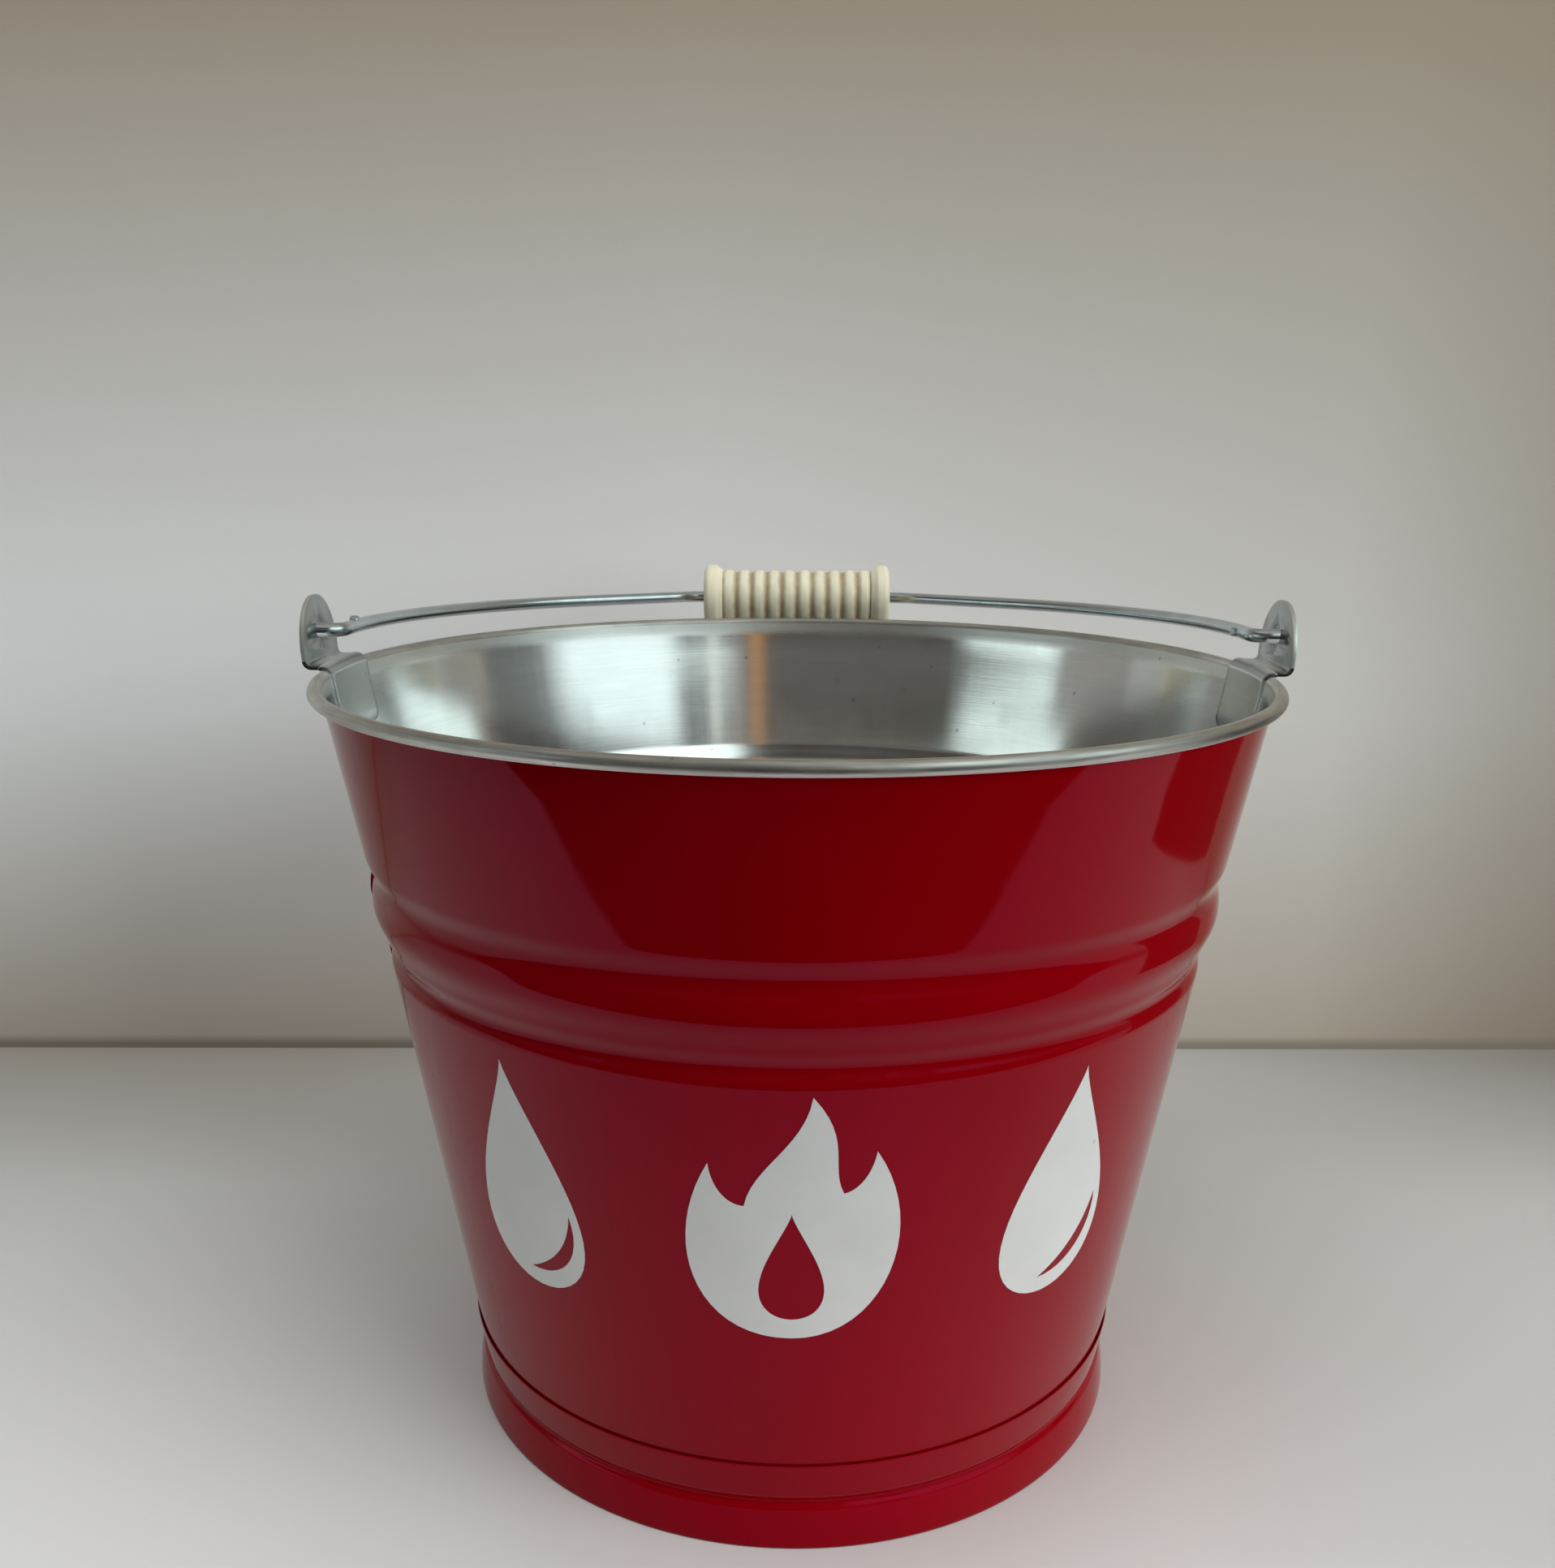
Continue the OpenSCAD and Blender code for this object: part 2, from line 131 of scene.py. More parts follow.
def named(piece, name):
    piece.name = piece.data.name = name
    return piece


def pick_only(piece):
    rest()
    piece.select_set(True)
    bpy.context.view_layer.objects.active = piece


def opened(piece):
    """Puts a piece in edit mode, with all of it selected."""
    pick_only(piece)
    bpy.ops.object.mode_set(mode="EDIT")
    bpy.ops.mesh.select_all(action="SELECT")


def faced(piece, way, where=lambda face: True):
    """Turns a sheet's faces round if those of a part of it don't look the given way."""
    picked = [face for face in piece.data.polygons if where(face)]
    if sum(face.normal.dot(way(face)) * face.area for face in picked) < 0:
        opened(piece)
        bpy.ops.mesh.flip_normals()
        rest()


def chain(name, points):
    """Edges through the points, drawn from one vertex. Left in edit mode, all selected."""
    rest()
    bpy.ops.mesh.primitive_plane_add(size=MM)
    piece = named(bpy.context.object, name)
    bpy.ops.object.mode_set(mode="EDIT")
    bpy.ops.mesh.merge(type="CENTER")
    bpy.ops.transform.translate(value=placed(points[0]))
    for start, end in zip(points, points[1:]):
        step = placed(end) - placed(start)
        bpy.ops.mesh.extrude_vertices_move(TRANSFORM_OT_translate={"value": step})
    bpy.ops.mesh.select_all(action="SELECT")
    return piece


def spin(steps, turn=360, centre=(0, 0, 0), axis=(0, 0, 1)):
    """Spins what is selected. Seen against the axis, a positive turn is anticlockwise."""
    bpy.ops.mesh.spin(steps=steps, angle=-radians(turn), center=placed(centre), axis=axis)


def cleaned(piece):
    """Merges doubles and makes the faces agree. Ends in object mode."""
    bpy.ops.mesh.select_all(action="SELECT")
    bpy.ops.mesh.remove_doubles(threshold=MERGE_M)
    bpy.ops.mesh.normals_make_consistent(inside=False)
    rest()
    return piece


def lathed(name, line, steps=ROUND_STEPS, axis=(0, 0, 1)):
    """A line of points (x, z) that is spun round an axis."""
    piece = chain(name, [(x, 0, z) for x, z in line])
    spin(steps, axis=axis)
    return cleaned(piece)


def apply_modifier(piece, kind, **settings):
    pick_only(piece)
    modifier = piece.modifiers.new(kind.lower(), kind)
    for key, value in settings.items():
        setattr(modifier, key, value)
    bpy.ops.object.modifier_apply(modifier=modifier.name)
    return piece


def thickened(piece, thickness, **settings):
    return apply_modifier(
        piece, "SOLIDIFY", thickness=thickness * MM, offset=-1, use_even_offset=True, **settings
    )


def bevelled(piece, width, segments=2, angle=35):
    return apply_modifier(
        piece, "BEVEL", width=width * MM, segments=segments, limit_method="ANGLE",
        angle_limit=radians(angle),
    )


def smoothed(piece, angle=30):
    pick_only(piece)
    bpy.ops.object.shade_smooth_by_angle(angle=radians(angle))
    return piece


def arc(centre, radius, start, end, steps):
    """Points (x, z) on an arc, in degrees from +x."""
    points = []
    for i in range(steps + 1):
        a = radians(start + (end - start) * i / steps)
        points.append((centre[0] + radius * cos(a), centre[1] + radius * sin(a)))
    return points


def piece_done(piece, body, node):
    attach(piece, body)
    if node:
        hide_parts(node)
    piece.data.update()
    print(piece.name, "on", body, "with", len(piece.data.polygons), "faces")


# %% [markdown]
# The camera stands where the photograph was taken: straight in front of the bucket, 29 cm
# above the floor and 45 cm away, looking down by 12.5 degrees. The lens is short, so the
# rim looks much wider than the foot.

# %% Camera
camera_data = bpy.data.cameras.new("camera")
camera = bpy.data.objects.new("camera", camera_data)
bpy.context.scene.collection.objects.link(camera)
camera_data.sensor_width = 36
camera_data.lens = 33.89
camera_data.clip_start, camera_data.clip_end = 0.02, 100
right = Vector((0.9999, 0.01348, 0.00494))
up = Vector((-0.00775, 0.21716, 0.9761))
back = right.cross(up).normalized()
up = back.cross(right).normalized()
right = up.cross(back)
camera.rotation_mode = "QUATERNION"
turn = back.to_track_quat("Z", "Y").to_matrix()
turn.col[0], turn.col[1], turn.col[2] = right, up, back
camera.rotation_quaternion = turn.to_quaternion()
camera.location = (0.00006, -0.4545, 0.29346)
bpy.context.scene.camera = camera
print("camera at", tuple(camera.location))

# %% [markdown]
# The finishes are built from a few effects that several of them share: streaks that run
# round or up the bucket, soft blotches, and sparse specks of dust. Each effect is a node
# group with named sockets, built once and placed in each finish with its own numbers.
# They all read Object coordinates, which are metres from the middle of the bucket's
# foot, so a pattern moves with its piece. Image textures would show their edges.

# %% Helpers for nodes


def add_node(tree, kind, values=(), **settings):
    """Adds a node. Values go by the socket's name or number, as numbers or as outputs."""
    made = tree.nodes.new(kind)
    for key, value in settings.items():
        setattr(made, key, value)
    for key, value in dict(values).items():
        if isinstance(value, bpy.types.NodeSocket):
            tree.links.new(value, made.inputs[key])
        else:
            made.inputs[key].default_value = value
    return made


def maths(tree, operation, *values):
    return add_node(tree, "ShaderNodeMath", enumerate(values), operation=operation).outputs[0]


def times(tree, first, second):
    return maths(tree, "MULTIPLY", first, second)


def plus(tree, first, second):
    return maths(tree, "ADD", first, second)


def vectors(tree, operation, *values):
    made = add_node(tree, "ShaderNodeVectorMath", enumerate(values), operation=operation)
    return made.outputs["Value" if operation in ("LENGTH", "DISTANCE") else "Vector"]


def axes(tree, vector):
    """The three coordinates of a vector."""
    return add_node(tree, "ShaderNodeSeparateXYZ", {0: vector}).outputs


def opaque(colour):
    """A colour with its alpha. What comes from a node stays as it is."""
    return (*colour, 1) if isinstance(colour, tuple) else colour


def mixed(tree, share, first, second):
    """A colour between two colours. Its sockets 6, 7 and output 2 are the colour ones."""
    values = {0: share, 6: opaque(first), 7: opaque(second)}
    return add_node(tree, "ShaderNodeMix", values, data_type="RGBA").outputs[2]


def ranged(tree, value, low, high, to_low=0.0, to_high=1.0):
    values = {
        "Value": value, "From Min": low, "From Max": high, "To Min": to_low, "To Max": to_high
    }
    return add_node(tree, "ShaderNodeMapRange", values).outputs["Result"]


def noise(tree, vector, scale, detail=2.0):
    values = {"Vector": vector, "Scale": scale, "Detail": detail}
    return add_node(tree, "ShaderNodeTexNoise", values).outputs[0]


def new_group(name, inputs, output):
    tree = bpy.data.node_groups.new(name, "ShaderNodeTree")
    for socket in ("Vector", *inputs):
        kind = "NodeSocketVector" if socket == "Vector" else "NodeSocketFloat"
        tree.interface.new_socket(socket, in_out="INPUT", socket_type=kind)
    tree.interface.new_socket(output, in_out="OUTPUT", socket_type="NodeSocketFloat")
    return tree, tree.nodes.new("NodeGroupInput").outputs, tree.nodes.new("NodeGroupOutput")


def grouped(tree, group, *values):
    """Places a group. Its values go in the order of its sockets, and the vector is first."""
    return add_node(tree, "ShaderNodeGroup", enumerate(values), node_tree=group).outputs[0]


# %% [markdown]
# Rolled and brushed sheet has fine lines in one direction. On a round bucket they run
# round it or up it, so the streaks are noise that is read in coordinates round the axis:
# the direction from the axis, times one number, and the height and the radius, times
# another. The direction is a point on a circle, so there is no seam at the back, which
# a plain angle would have.

# %% Streaks round and up the bucket
streaks, put, got = new_group("streaks", ("Round", "Up", "Out"), "Value")
parts = axes(streaks, put["Vector"])
flat = add_node(streaks, "ShaderNodeCombineXYZ", {0: parts[0], 1: parts[1], 2: 0.0}).outputs[0]
reach = vectors(streaks, "LENGTH", flat)
facing = axes(streaks, vectors(streaks, "NORMALIZE", flat))
streak_place = add_node(streaks, "ShaderNodeCombineXYZ", {
    0: times(streaks, facing[0], put["Round"]),
    1: times(streaks, facing[1], put["Round"]),
    2: times(streaks, parts[2], put["Up"]),
}).outputs[0]
streak_noise = add_node(streaks, "ShaderNodeTexNoise", {
    "Vector": streak_place, "W": times(streaks, reach, put["Out"]),
    "Scale": 1.0, "Detail": 3.0, "Roughness": 0.6,
}, noise_dimensions="4D").outputs[0]
streaks.links.new(streak_noise, got.inputs[0])
print("group", streaks.name)

# %% [markdown]
# Blotches are soft uneven patches, such as dulled metal or a wiped surface: noise with
# its middle tones spread out. Specks are dust: the middles of a Voronoi pattern's cells,
# kept where the cell's own random colour is above a limit, so that only a few show.

# %% Blotches and specks
blotches, put, got = new_group("blotches", ("Scale", "Sharpness"), "Value")
patch = noise(blotches, put["Vector"], put["Scale"], 4.0)
spread = times(blotches, maths(blotches, "SUBTRACT", patch, 0.5), put["Sharpness"])
soft = add_node(
    blotches, "ShaderNodeMath", {0: spread, 1: 0.5}, operation="ADD", use_clamp=True
).outputs[0]
blotches.links.new(soft, got.inputs[0])

specks, put, got = new_group("specks", ("Scale", "Size", "Limit"), "Mask")
cells = add_node(specks, "ShaderNodeTexVoronoi", {"Vector": put["Vector"], "Scale": put["Scale"]})
lot = add_node(specks, "ShaderNodeSeparateColor", {0: cells.outputs["Color"]}).outputs
size = times(specks, put["Size"], lot[1])
near = maths(specks, "LESS_THAN", cells.outputs["Distance"], size)
kept = maths(specks, "GREATER_THAN", lot[0], put["Limit"])
specks.links.new(times(specks, near, kept), got.inputs[0])
print("groups", [g.name for g in bpy.data.node_groups])


def new_finish(name, **values):
    """A material, its tree, its shader and its Object coordinates."""
    made = bpy.data.materials.new(name)
    made.use_nodes = True
    tree = made.node_tree
    shader = tree.nodes["Principled BSDF"]
    for key, value in values.items():
        shader.inputs[key.replace("_", " ")].default_value = value
    place = tree.nodes.new("ShaderNodeTexCoord").outputs["Object"]
    return made, tree, shader, place


def bumped(tree, shader, height, distance):
    values = {"Height": height, "Distance": distance, "Strength": 1.0}
    bump = add_node(tree, "ShaderNodeBump", values)
    tree.links.new(bump.outputs[0], shader.inputs["Normal"])


def feed(tree, output, shader, name):
    tree.links.new(output, shader.inputs[name])


def covered(tree, shader, colour, roughness, height, distance):
    """Feeds a finish its colour, its roughness and its bump."""
    feed(tree, colour, shader, "Base Color")
    feed(tree, roughness, shader, "Roughness")
    bumped(tree, shader, height, distance)


# %% [markdown]
# The paint is a deep crimson enamel, sprayed and baked: glossy, a little wavy, with some
# dust under it. Its colour is almost pure red, so that the pale reflections alone make
# it pink. The wave is a slow noise bump, because a crisp mirror would look like glass.
# Above the foot ring a thin dark line of painted shade is drawn by height along the
# seam, and the paint is duller there too.

# %% Crimson enamel
red_enamel, tree, shader, place = new_finish("red_enamel", Specular_IOR_Level=0.22)
shader.inputs["Specular Tint"].default_value = (1, 0.2, 0.6, 1)
clouds = grouped(tree, blotches, place, 14.0, 2.0)
dust = grouped(tree, specks, place, 95.0, 0.045, 0.93)
grit = grouped(tree, specks, place, 420.0, 0.16, 0.985)
height_up = axes(tree, place)[2]
ragged = noise(tree, place, 900.0)
# Painted shade: a thin dark line along the seam above the foot ring, which is also duller.
SEAM_SHADE_Z, SEAM_SHADE_HALF = 26.48 * MM, 0.25 * MM
line_at = maths(tree, "ABSOLUTE", maths(tree, "SUBTRACT", height_up, SEAM_SHADE_Z))
seam_shade_line = ranged(tree, line_at, 0.0, SEAM_SHADE_HALF, 0.8, 0.0)
seam_shade_line = times(tree, seam_shade_line, ranged(tree, ragged, 0.3, 0.5, 0.55, 1.0))
paint = mixed(tree, clouds, (0.25, 0.0, 0.002), (0.276, 0.0002, 0.0045))
paint = mixed(tree, times(tree, dust, 0.35), paint, (0.55, 0.12, 0.12))
paint = mixed(tree, times(tree, grit, 0.25), paint, (0.12, 0.0, 0.0))
paint = mixed(tree, seam_shade_line, paint, (0.02, 0.004, 0.004))
wiped = grouped(tree, blotches, place, 38.0, 3.0)
dull = plus(tree, ranged(tree, wiped, 0.0, 1.0, 0.045, 0.085), seam_shade_line)
dull = plus(tree, dull, times(tree, dust, 0.4))
waves = noise(tree, place, 75.0, 1.0)
fine_waves = noise(tree, place, 420.0, 1.0)
peel = plus(tree, waves, times(tree, fine_waves, 0.12))
peel = plus(tree, peel, times(tree, dust, 0.6))
covered(tree, shader, paint, dull, peel, 0.00004)
print("finish", red_enamel.name)

# %% [markdown]
# The inside is bare zinc-plated sheet with a satin, brushed face. The brush ran round
# the cone, so a light is blurred up and down but keeps fairly sharp sides. Anisotropic
# reflection with its tangent round the Z axis gives this. Fine streaks and dull blotches
# then break the colour, the gloss and the surface. Plain roughness would blur a light
# both ways. The rolled rim and the ears' sheared edges are duller, the bottom and the
# plates of the ears darker, and the tabs of the ears look like the wall.

# %% Zinc sheet
ROLLED_LOW, ROLLED_HIGH = 222.5 * MM, 225.5 * MM


def zinc_finish(name, tone, gloss, marks, brushed, brush_depth, runs, rolled=0.0):
    """Zinc sheet: its colour, roughness range, strength of marks, brush, and run marks.

    With rolled it is also duller in the band under the rim, where the sheet was rolled."""
    made, tree, shader, place = new_finish(name, Metallic=1.0, Anisotropic=brushed)
    shader.inputs["Anisotropic Rotation"].default_value = 0.25
    tangent = add_node(tree, "ShaderNodeTangent", direction_type="RADIAL", axis="Z")
    feed(tree, tangent.outputs[0], shader, "Tangent")
    fine = grouped(tree, streaks, place, 5.0, 2600.0, 2600.0)
    wide = grouped(tree, streaks, place, 9.0, 340.0, 340.0)
    upward = grouped(tree, streaks, place, 60.0, 9.0, 0.0)
    dulled = grouped(tree, blotches, place, 30.0, 3.0)
    grains = grouped(tree, specks, place, 300.0, 0.25, 0.97)
    lines = plus(tree, times(tree, fine, 0.5), times(tree, wide, 0.5))
    dark = tuple(c * (1 - marks) for c in tone)
    colour = mixed(tree, ranged(tree, lines, 0.35, 0.65), dark, tone)
    colour = mixed(tree, times(tree, grains, 0.4), colour, (0.2, 0.19, 0.18))
    rough = plus(tree, times(tree, dulled, 1 - runs), times(tree, upward, runs))
    rough = ranged(tree, rough, 0.25, 0.75, *gloss)
    if rolled:
        height_up = axes(tree, place)[2]
        band = ranged(tree, height_up, ROLLED_LOW, ROLLED_HIGH, 0.0, rolled)
        rough = plus(tree, rough, band)
    covered(tree, shader, colour, rough, lines, brush_depth)
    return made


zinc_inside = zinc_finish(
    "zinc_inside", (0.87, 0.885, 0.88), (0.12, 0.18), 0.1, 0.5, 0.000012, 0.5, 0.3
)
zinc_rim = zinc_finish("zinc_rim", (0.76, 0.75, 0.715), (0.36, 0.5), 0.4, 0.5, 0.00002, 0.0)
zinc_ear = zinc_finish("zinc_ear", (0.38, 0.415, 0.415), (0.22, 0.34), 0.1, 0.0, 0.000005, 0.0)
zinc_tab = zinc_finish("zinc_tab", (0.76, 0.79, 0.79), (0.2, 0.28), 0.1, 0.4, 0.000008, 0.3)
zinc_edge = zinc_finish("zinc_edge", (0.9, 0.91, 0.9), (0.45, 0.55), 0.2, 0.0, 0.00001, 0.0)
zinc_bottom = zinc_finish("zinc_bottom", (0.5, 0.5, 0.49), (0.24, 0.4), 0.16, 0.3, 0.00002, 0.3)
print("zinc finishes", [m.name for m in bpy.data.materials if m.name.startswith("zinc")])

# %% [markdown]
# The bail is drawn wire with a thin zinc plating: darker than the sheet, smooth, with
# small dull patches where hands and hooks have worn it. The sealing compound is a dull
# grey paste, and takes its look from lumps.

# %% Wire and sealing compound
steel_wire, tree, shader, place = new_finish("steel_wire", Metallic=1.0)
worn = grouped(tree, blotches, place, 160.0, 3.5)
pits = grouped(tree, specks, place, 700.0, 0.3, 0.93)
colour = mixed(tree, worn, (0.55, 0.62, 0.66), (0.62, 0.69, 0.73))
colour = mixed(tree, times(tree, pits, 0.2), colour, (0.2, 0.19, 0.18))
rough = ranged(tree, worn, 0.0, 1.0, 0.26, 0.2)
covered(tree, shader, colour, rough, noise(tree, place, 1800.0), 0.000002)

compound, tree, shader, place = new_finish("seal_compound", Roughness=0.6)
lumpy = grouped(tree, blotches, place, 220.0, 2.0)
feed(tree, mixed(tree, lumpy, (0.2, 0.2, 0.19), (0.32, 0.33, 0.31)), shader, "Base Color")
bumped(tree, shader, lumpy, 0.0002)

# %% [markdown]
# The grip is turned wood under thick ivory paint. Its colour is darker and warmer in the
# grooves, as painted shade, and paler on the ridges. How deep a point lies is its distance
# from the wire, so the grooves are found by that distance. A few brush lines run round
# the grip.

# %% Ivory paint
GRIP_AT = (0, 152.467, 236.841)
GROOVE_FLOOR, RIDGE_TOP = 10 * MM, 10.9 * MM
ivory_grip, tree, shader, place = new_finish("ivory_grip", Specular_IOR_Level=0.45)
from_wire = vectors(tree, "SUBTRACT", place, placed(GRIP_AT))
reach = vectors(tree, "LENGTH", vectors(tree, "MULTIPLY", from_wire, (0, 1, 1)))
lumpy_paint = noise(tree, place, 260.0)
uneven = times(tree, maths(tree, "SUBTRACT", lumpy_paint, 0.5), 0.0006)
# Painted shade: the colour is darker in the grooves, found by the distance from the wire.
groove_shade_blend = ranged(tree, plus(tree, reach, uneven), GROOVE_FLOOR, RIDGE_TOP)
brush = noise(tree, vectors(tree, "MULTIPLY", from_wire, (1500, 60, 60)), 1.0)
soiled = grouped(tree, blotches, place, 70.0, 2.5)
top_tone = mixed(tree, soiled, (0.73, 0.705, 0.53), (0.8, 0.78, 0.6))
top_tone = mixed(tree, ranged(tree, brush, 0.3, 0.7, 0.0, 0.3), top_tone, (0.55, 0.52, 0.38))
ivory = mixed(tree, groove_shade_blend, (0.34, 0.28, 0.16), top_tone)
rough = ranged(tree, soiled, 0.0, 1.0, 0.45, 0.3)
covered(tree, shader, ivory, rough, plus(tree, brush, lumpy_paint), 0.00004)

# %% [markdown]
# The signs are screen-printed white film: a cool white with a satin face, a little
# uneven, with a few specks of dust.

# %% White film
white_print, tree, shader, place = new_finish("white_print", Specular_IOR_Level=0.4)
clouds = grouped(tree, blotches, place, 45.0, 2.0)
dust = grouped(tree, specks, place, 260.0, 0.2, 0.97)
film = mixed(tree, clouds, (0.7, 0.72, 0.71), (0.77, 0.79, 0.78))
film = mixed(tree, times(tree, dust, 0.35), film, (0.3, 0.28, 0.27))
rough = ranged(tree, clouds, 0.0, 1.0, 0.42, 0.32)
covered(tree, shader, film, rough, noise(tree, place, 1400.0), 0.00001)
print("finishes", sorted(m.name for m in bpy.data.materials))

# %% [markdown]
# The side wall is one sheet with a bare zinc face and a painted face. At the top the
# zinc face is rolled outwards round a wire, so the rim shows bare metal above the paint.
# The zinc face is drawn as one line, from the lip under the bottom up the inside of the
# wall and round the curl, and is spun. Solidify then makes the painted face behind it,
# and can give that face another material slot. Two nested cones would leave the rim
# open and would cost a second set of ribs.

# %% Side wall with its rolled rim
CURL_END = -128
lip_bend = (wall_r(LIP_Z + 1) - WALL_T - LIP_BEND_R, LIP_Z + WALL_T + LIP_BEND_R)
zinc_face = [(wall_r(LIP_Z) - LIP_W, LIP_Z + WALL_T)]
zinc_face += arc(lip_bend, LIP_BEND_R, -90, 0, 4)
zinc_face += [(wall_r(z) - WALL_T, z) for z in wall_heights(LIP_Z + 1.2, CURL_Z)[:-1]]
zinc_face += arc((CURL_R, CURL_Z), CURL_D / 2, 180, CURL_END, 30)
body_shell = lathed("side_wall", zinc_face)
faced(
    body_shell, lambda face: Vector((-face.center.x, -face.center.y, 0)),
    lambda face: 88 * MM < face.center.z < 112 * MM,
)
print("wall's zinc face drawn with", len(zinc_face), "points")
for finish in (zinc_inside, zinc_rim, red_enamel):
    body_shell.data.materials.append(finish)
thickened(body_shell, WALL_T, material_offset=2, material_offset_rim=2)
smoothed(body_shell)
RIM_LOW, RIM_INNER_R = CURL_Z - 1.5, 140.8


def rim_faces(piece):
    """Picks the faces of the rolled rim, by their place."""
    for face in piece.data.polygons:
        reach = hypot(face.center.x, face.center.y) / MM
        at_rim = face.center.z / MM > RIM_LOW and reach > RIM_INNER_R
        if at_rim and face.material_index == 0:
            face.material_index = 1


# %% [markdown]
# The wall is closed by a lock seam: the two edges of the sheet are hooked into each other
# and pressed flat, which leaves a raised band from the foot ring to the rim. It follows
# the ribs, so it is a short spin of the same profile, one millimetre further out, with
# soft long edges. Cutting it from a box would lose the ribs.

# %% Lock seam
SEAM_W, SEAM_H, SEAM_AT, SEAM_SUNK = 6.0, 1.0, 190.0, 0.3
SEAM_LOW, SEAM_HIGH = 27.2, 224.5
seam_half = degrees(asin(SEAM_W / 2 / wall_r(RIB_Z)))
seam_start = radians(SEAM_AT - seam_half)
seam_line = [
    ((wall_r(z) + SEAM_H) * cos(seam_start), (wall_r(z) + SEAM_H) * sin(seam_start), z)
    for z in wall_heights(SEAM_LOW, SEAM_HIGH)
]
lock_seam = chain("lock_seam", seam_line)
spin(8, turn=2 * seam_half)
cleaned(lock_seam)
faced(lock_seam, lambda face: face.center)
thickened(lock_seam, SEAM_H + SEAM_SUNK)
bevelled(lock_seam, 0.55, segments=4)
smoothed(lock_seam, 40)

# %% [markdown]
# The bottom is a pressed sheet: its middle is raised so that it doesn't drum, and its
# flange stands up inside the wall. The upper face is drawn from the middle outwards, and
# the thickness goes down. A thin uneven bead of sealing compound closes the joint, so it
# is spun as a small section and then pushed about a little by a cloud pattern.

# %% Bottom and its sealing bead
BOTTOM_Z, PAN_T, FLANGE_H = 17.5, 0.5, 6.0
CROWN_R, CROWN_RAMP, CROWN_H, CROWN_STEPS = 75.0, 6.0, 2.0, 8
SHEET_FIT = 0.05


def pan_r(z):
    return wall_r(z) - WALL_T - SHEET_FIT


pan_top = BOTTOM_Z + PAN_T
flange_top = BOTTOM_Z + FLANGE_H
bend_r = 1.3
pan_face = [(0, pan_top + CROWN_H), (CROWN_R - CROWN_RAMP - 12, pan_top + CROWN_H)]
for i in range(CROWN_STEPS + 1):
    share = i / CROWN_STEPS
    pan_face.append((
        CROWN_R - CROWN_RAMP * (1 - share),
        pan_top + CROWN_H * (1 + cos(pi * share)) / 2,
    ))
pan_edge = pan_r(pan_top + bend_r) - PAN_T
pan_face += [(pan_edge - 9, pan_top)]
pan_face += arc((pan_edge - bend_r, pan_top + bend_r), bend_r, -90, 0, 6)
pan_face += [(pan_r(z) - PAN_T, z) for z in (21.5, flange_top)]
bottom_pan = lathed("bottom_sheet", pan_face)
faced(bottom_pan, lambda face: Vector((0, 0, 1)))
thickened(bottom_pan, PAN_T)
smoothed(bottom_pan)

SEAL_H = 1.5
seal_inner = pan_r(flange_top) - PAN_T
seal_section = [
    (seal_inner, flange_top - 0.2), (seal_inner - 0.12, flange_top + 0.15),
    (seal_inner + 0.02, flange_top + 0.6), (seal_inner + 0.3, flange_top + 1.1),
    (pan_r(flange_top + SEAL_H), flange_top + SEAL_H),
    (pan_r(flange_top), flange_top - 0.2), (seal_inner, flange_top - 0.2),
]
bottom_seal = lathed("sealing_bead", seal_section)
lumps = bpy.data.textures.new("lumps", "CLOUDS")
lumps.noise_scale = 0.006
apply_modifier(bottom_seal, "DISPLACE", texture=lumps, texture_coords="GLOBAL", strength=0.0003)
smoothed(bottom_seal, 60)

# %% [markdown]
# The foot ring lifts the thin bottom off the ground. Its lower edge is folded up inside
# into a hem, so that it stands on a rounded edge, and a shallow valley is rolled in above.
# Between the two it swells outwards a little. It is spun as one closed section, with its
# round edges drawn in it: a bevel afterwards would act on every facet of the valley too.
# Its top edge leans away from the wall a little, and leaves a fine dark line.

# %% Foot ring
RING_H, RING_T, RING_FIT, HEM_H = 26.2, 0.6, 0.1, 4.0
VALLEY_Z, VALLEY_H, VALLEY_W = 13.3, 0.6, 4.8
FOOT_R, FOOT_SWELL, TOP_ROUND = 103.6, 1.8, 0.22


def ring_r(z):
    plain = wall_r(z) + RING_FIT
    if z <= VALLEY_Z:
        share = (z / VALLEY_Z) ** FOOT_SWELL
        plain = FOOT_R + (wall_r(VALLEY_Z) + RING_FIT - FOOT_R) * share
    return plain - VALLEY_H * bell(z, VALLEY_Z, VALLEY_W)


valley = heights(VALLEY_Z - VALLEY_W / 2 - 0.2, VALLEY_Z + VALLEY_W / 2 + 0.2, 0.2)
low_part = (0.6, 1.5, 2.8, 4.2, 5.6, 7, 8.4)
outer_line = [(ring_r(z) + RING_T, z) for z in low_part + tuple(valley) + (16, 20, 25.6)]
ring_section = arc((ring_r(RING_T), RING_T), RING_T, 180, 360, 10)[:-1] + outer_line
top_round = (ring_r(25.9) + RING_T - TOP_ROUND, RING_H - TOP_ROUND)
ring_section += arc(top_round, TOP_ROUND, 0, 90, 4)
ring_section += [(ring_r(26.1) + 0.32, RING_H), (ring_r(25.6) + 0.14, 25.75)]
ring_section += [(ring_r(z), z) for z in [24.8, 20] + valley[::-1] + [8.4, 6, HEM_H]]
ring_section += [(ring_r(HEM_H) - RING_T, HEM_H), ring_section[0]]
foot_ring = lathed("foot_ring_sheet", ring_section)
smoothed(foot_ring)
print("foot ring section has", len(ring_section), "points")

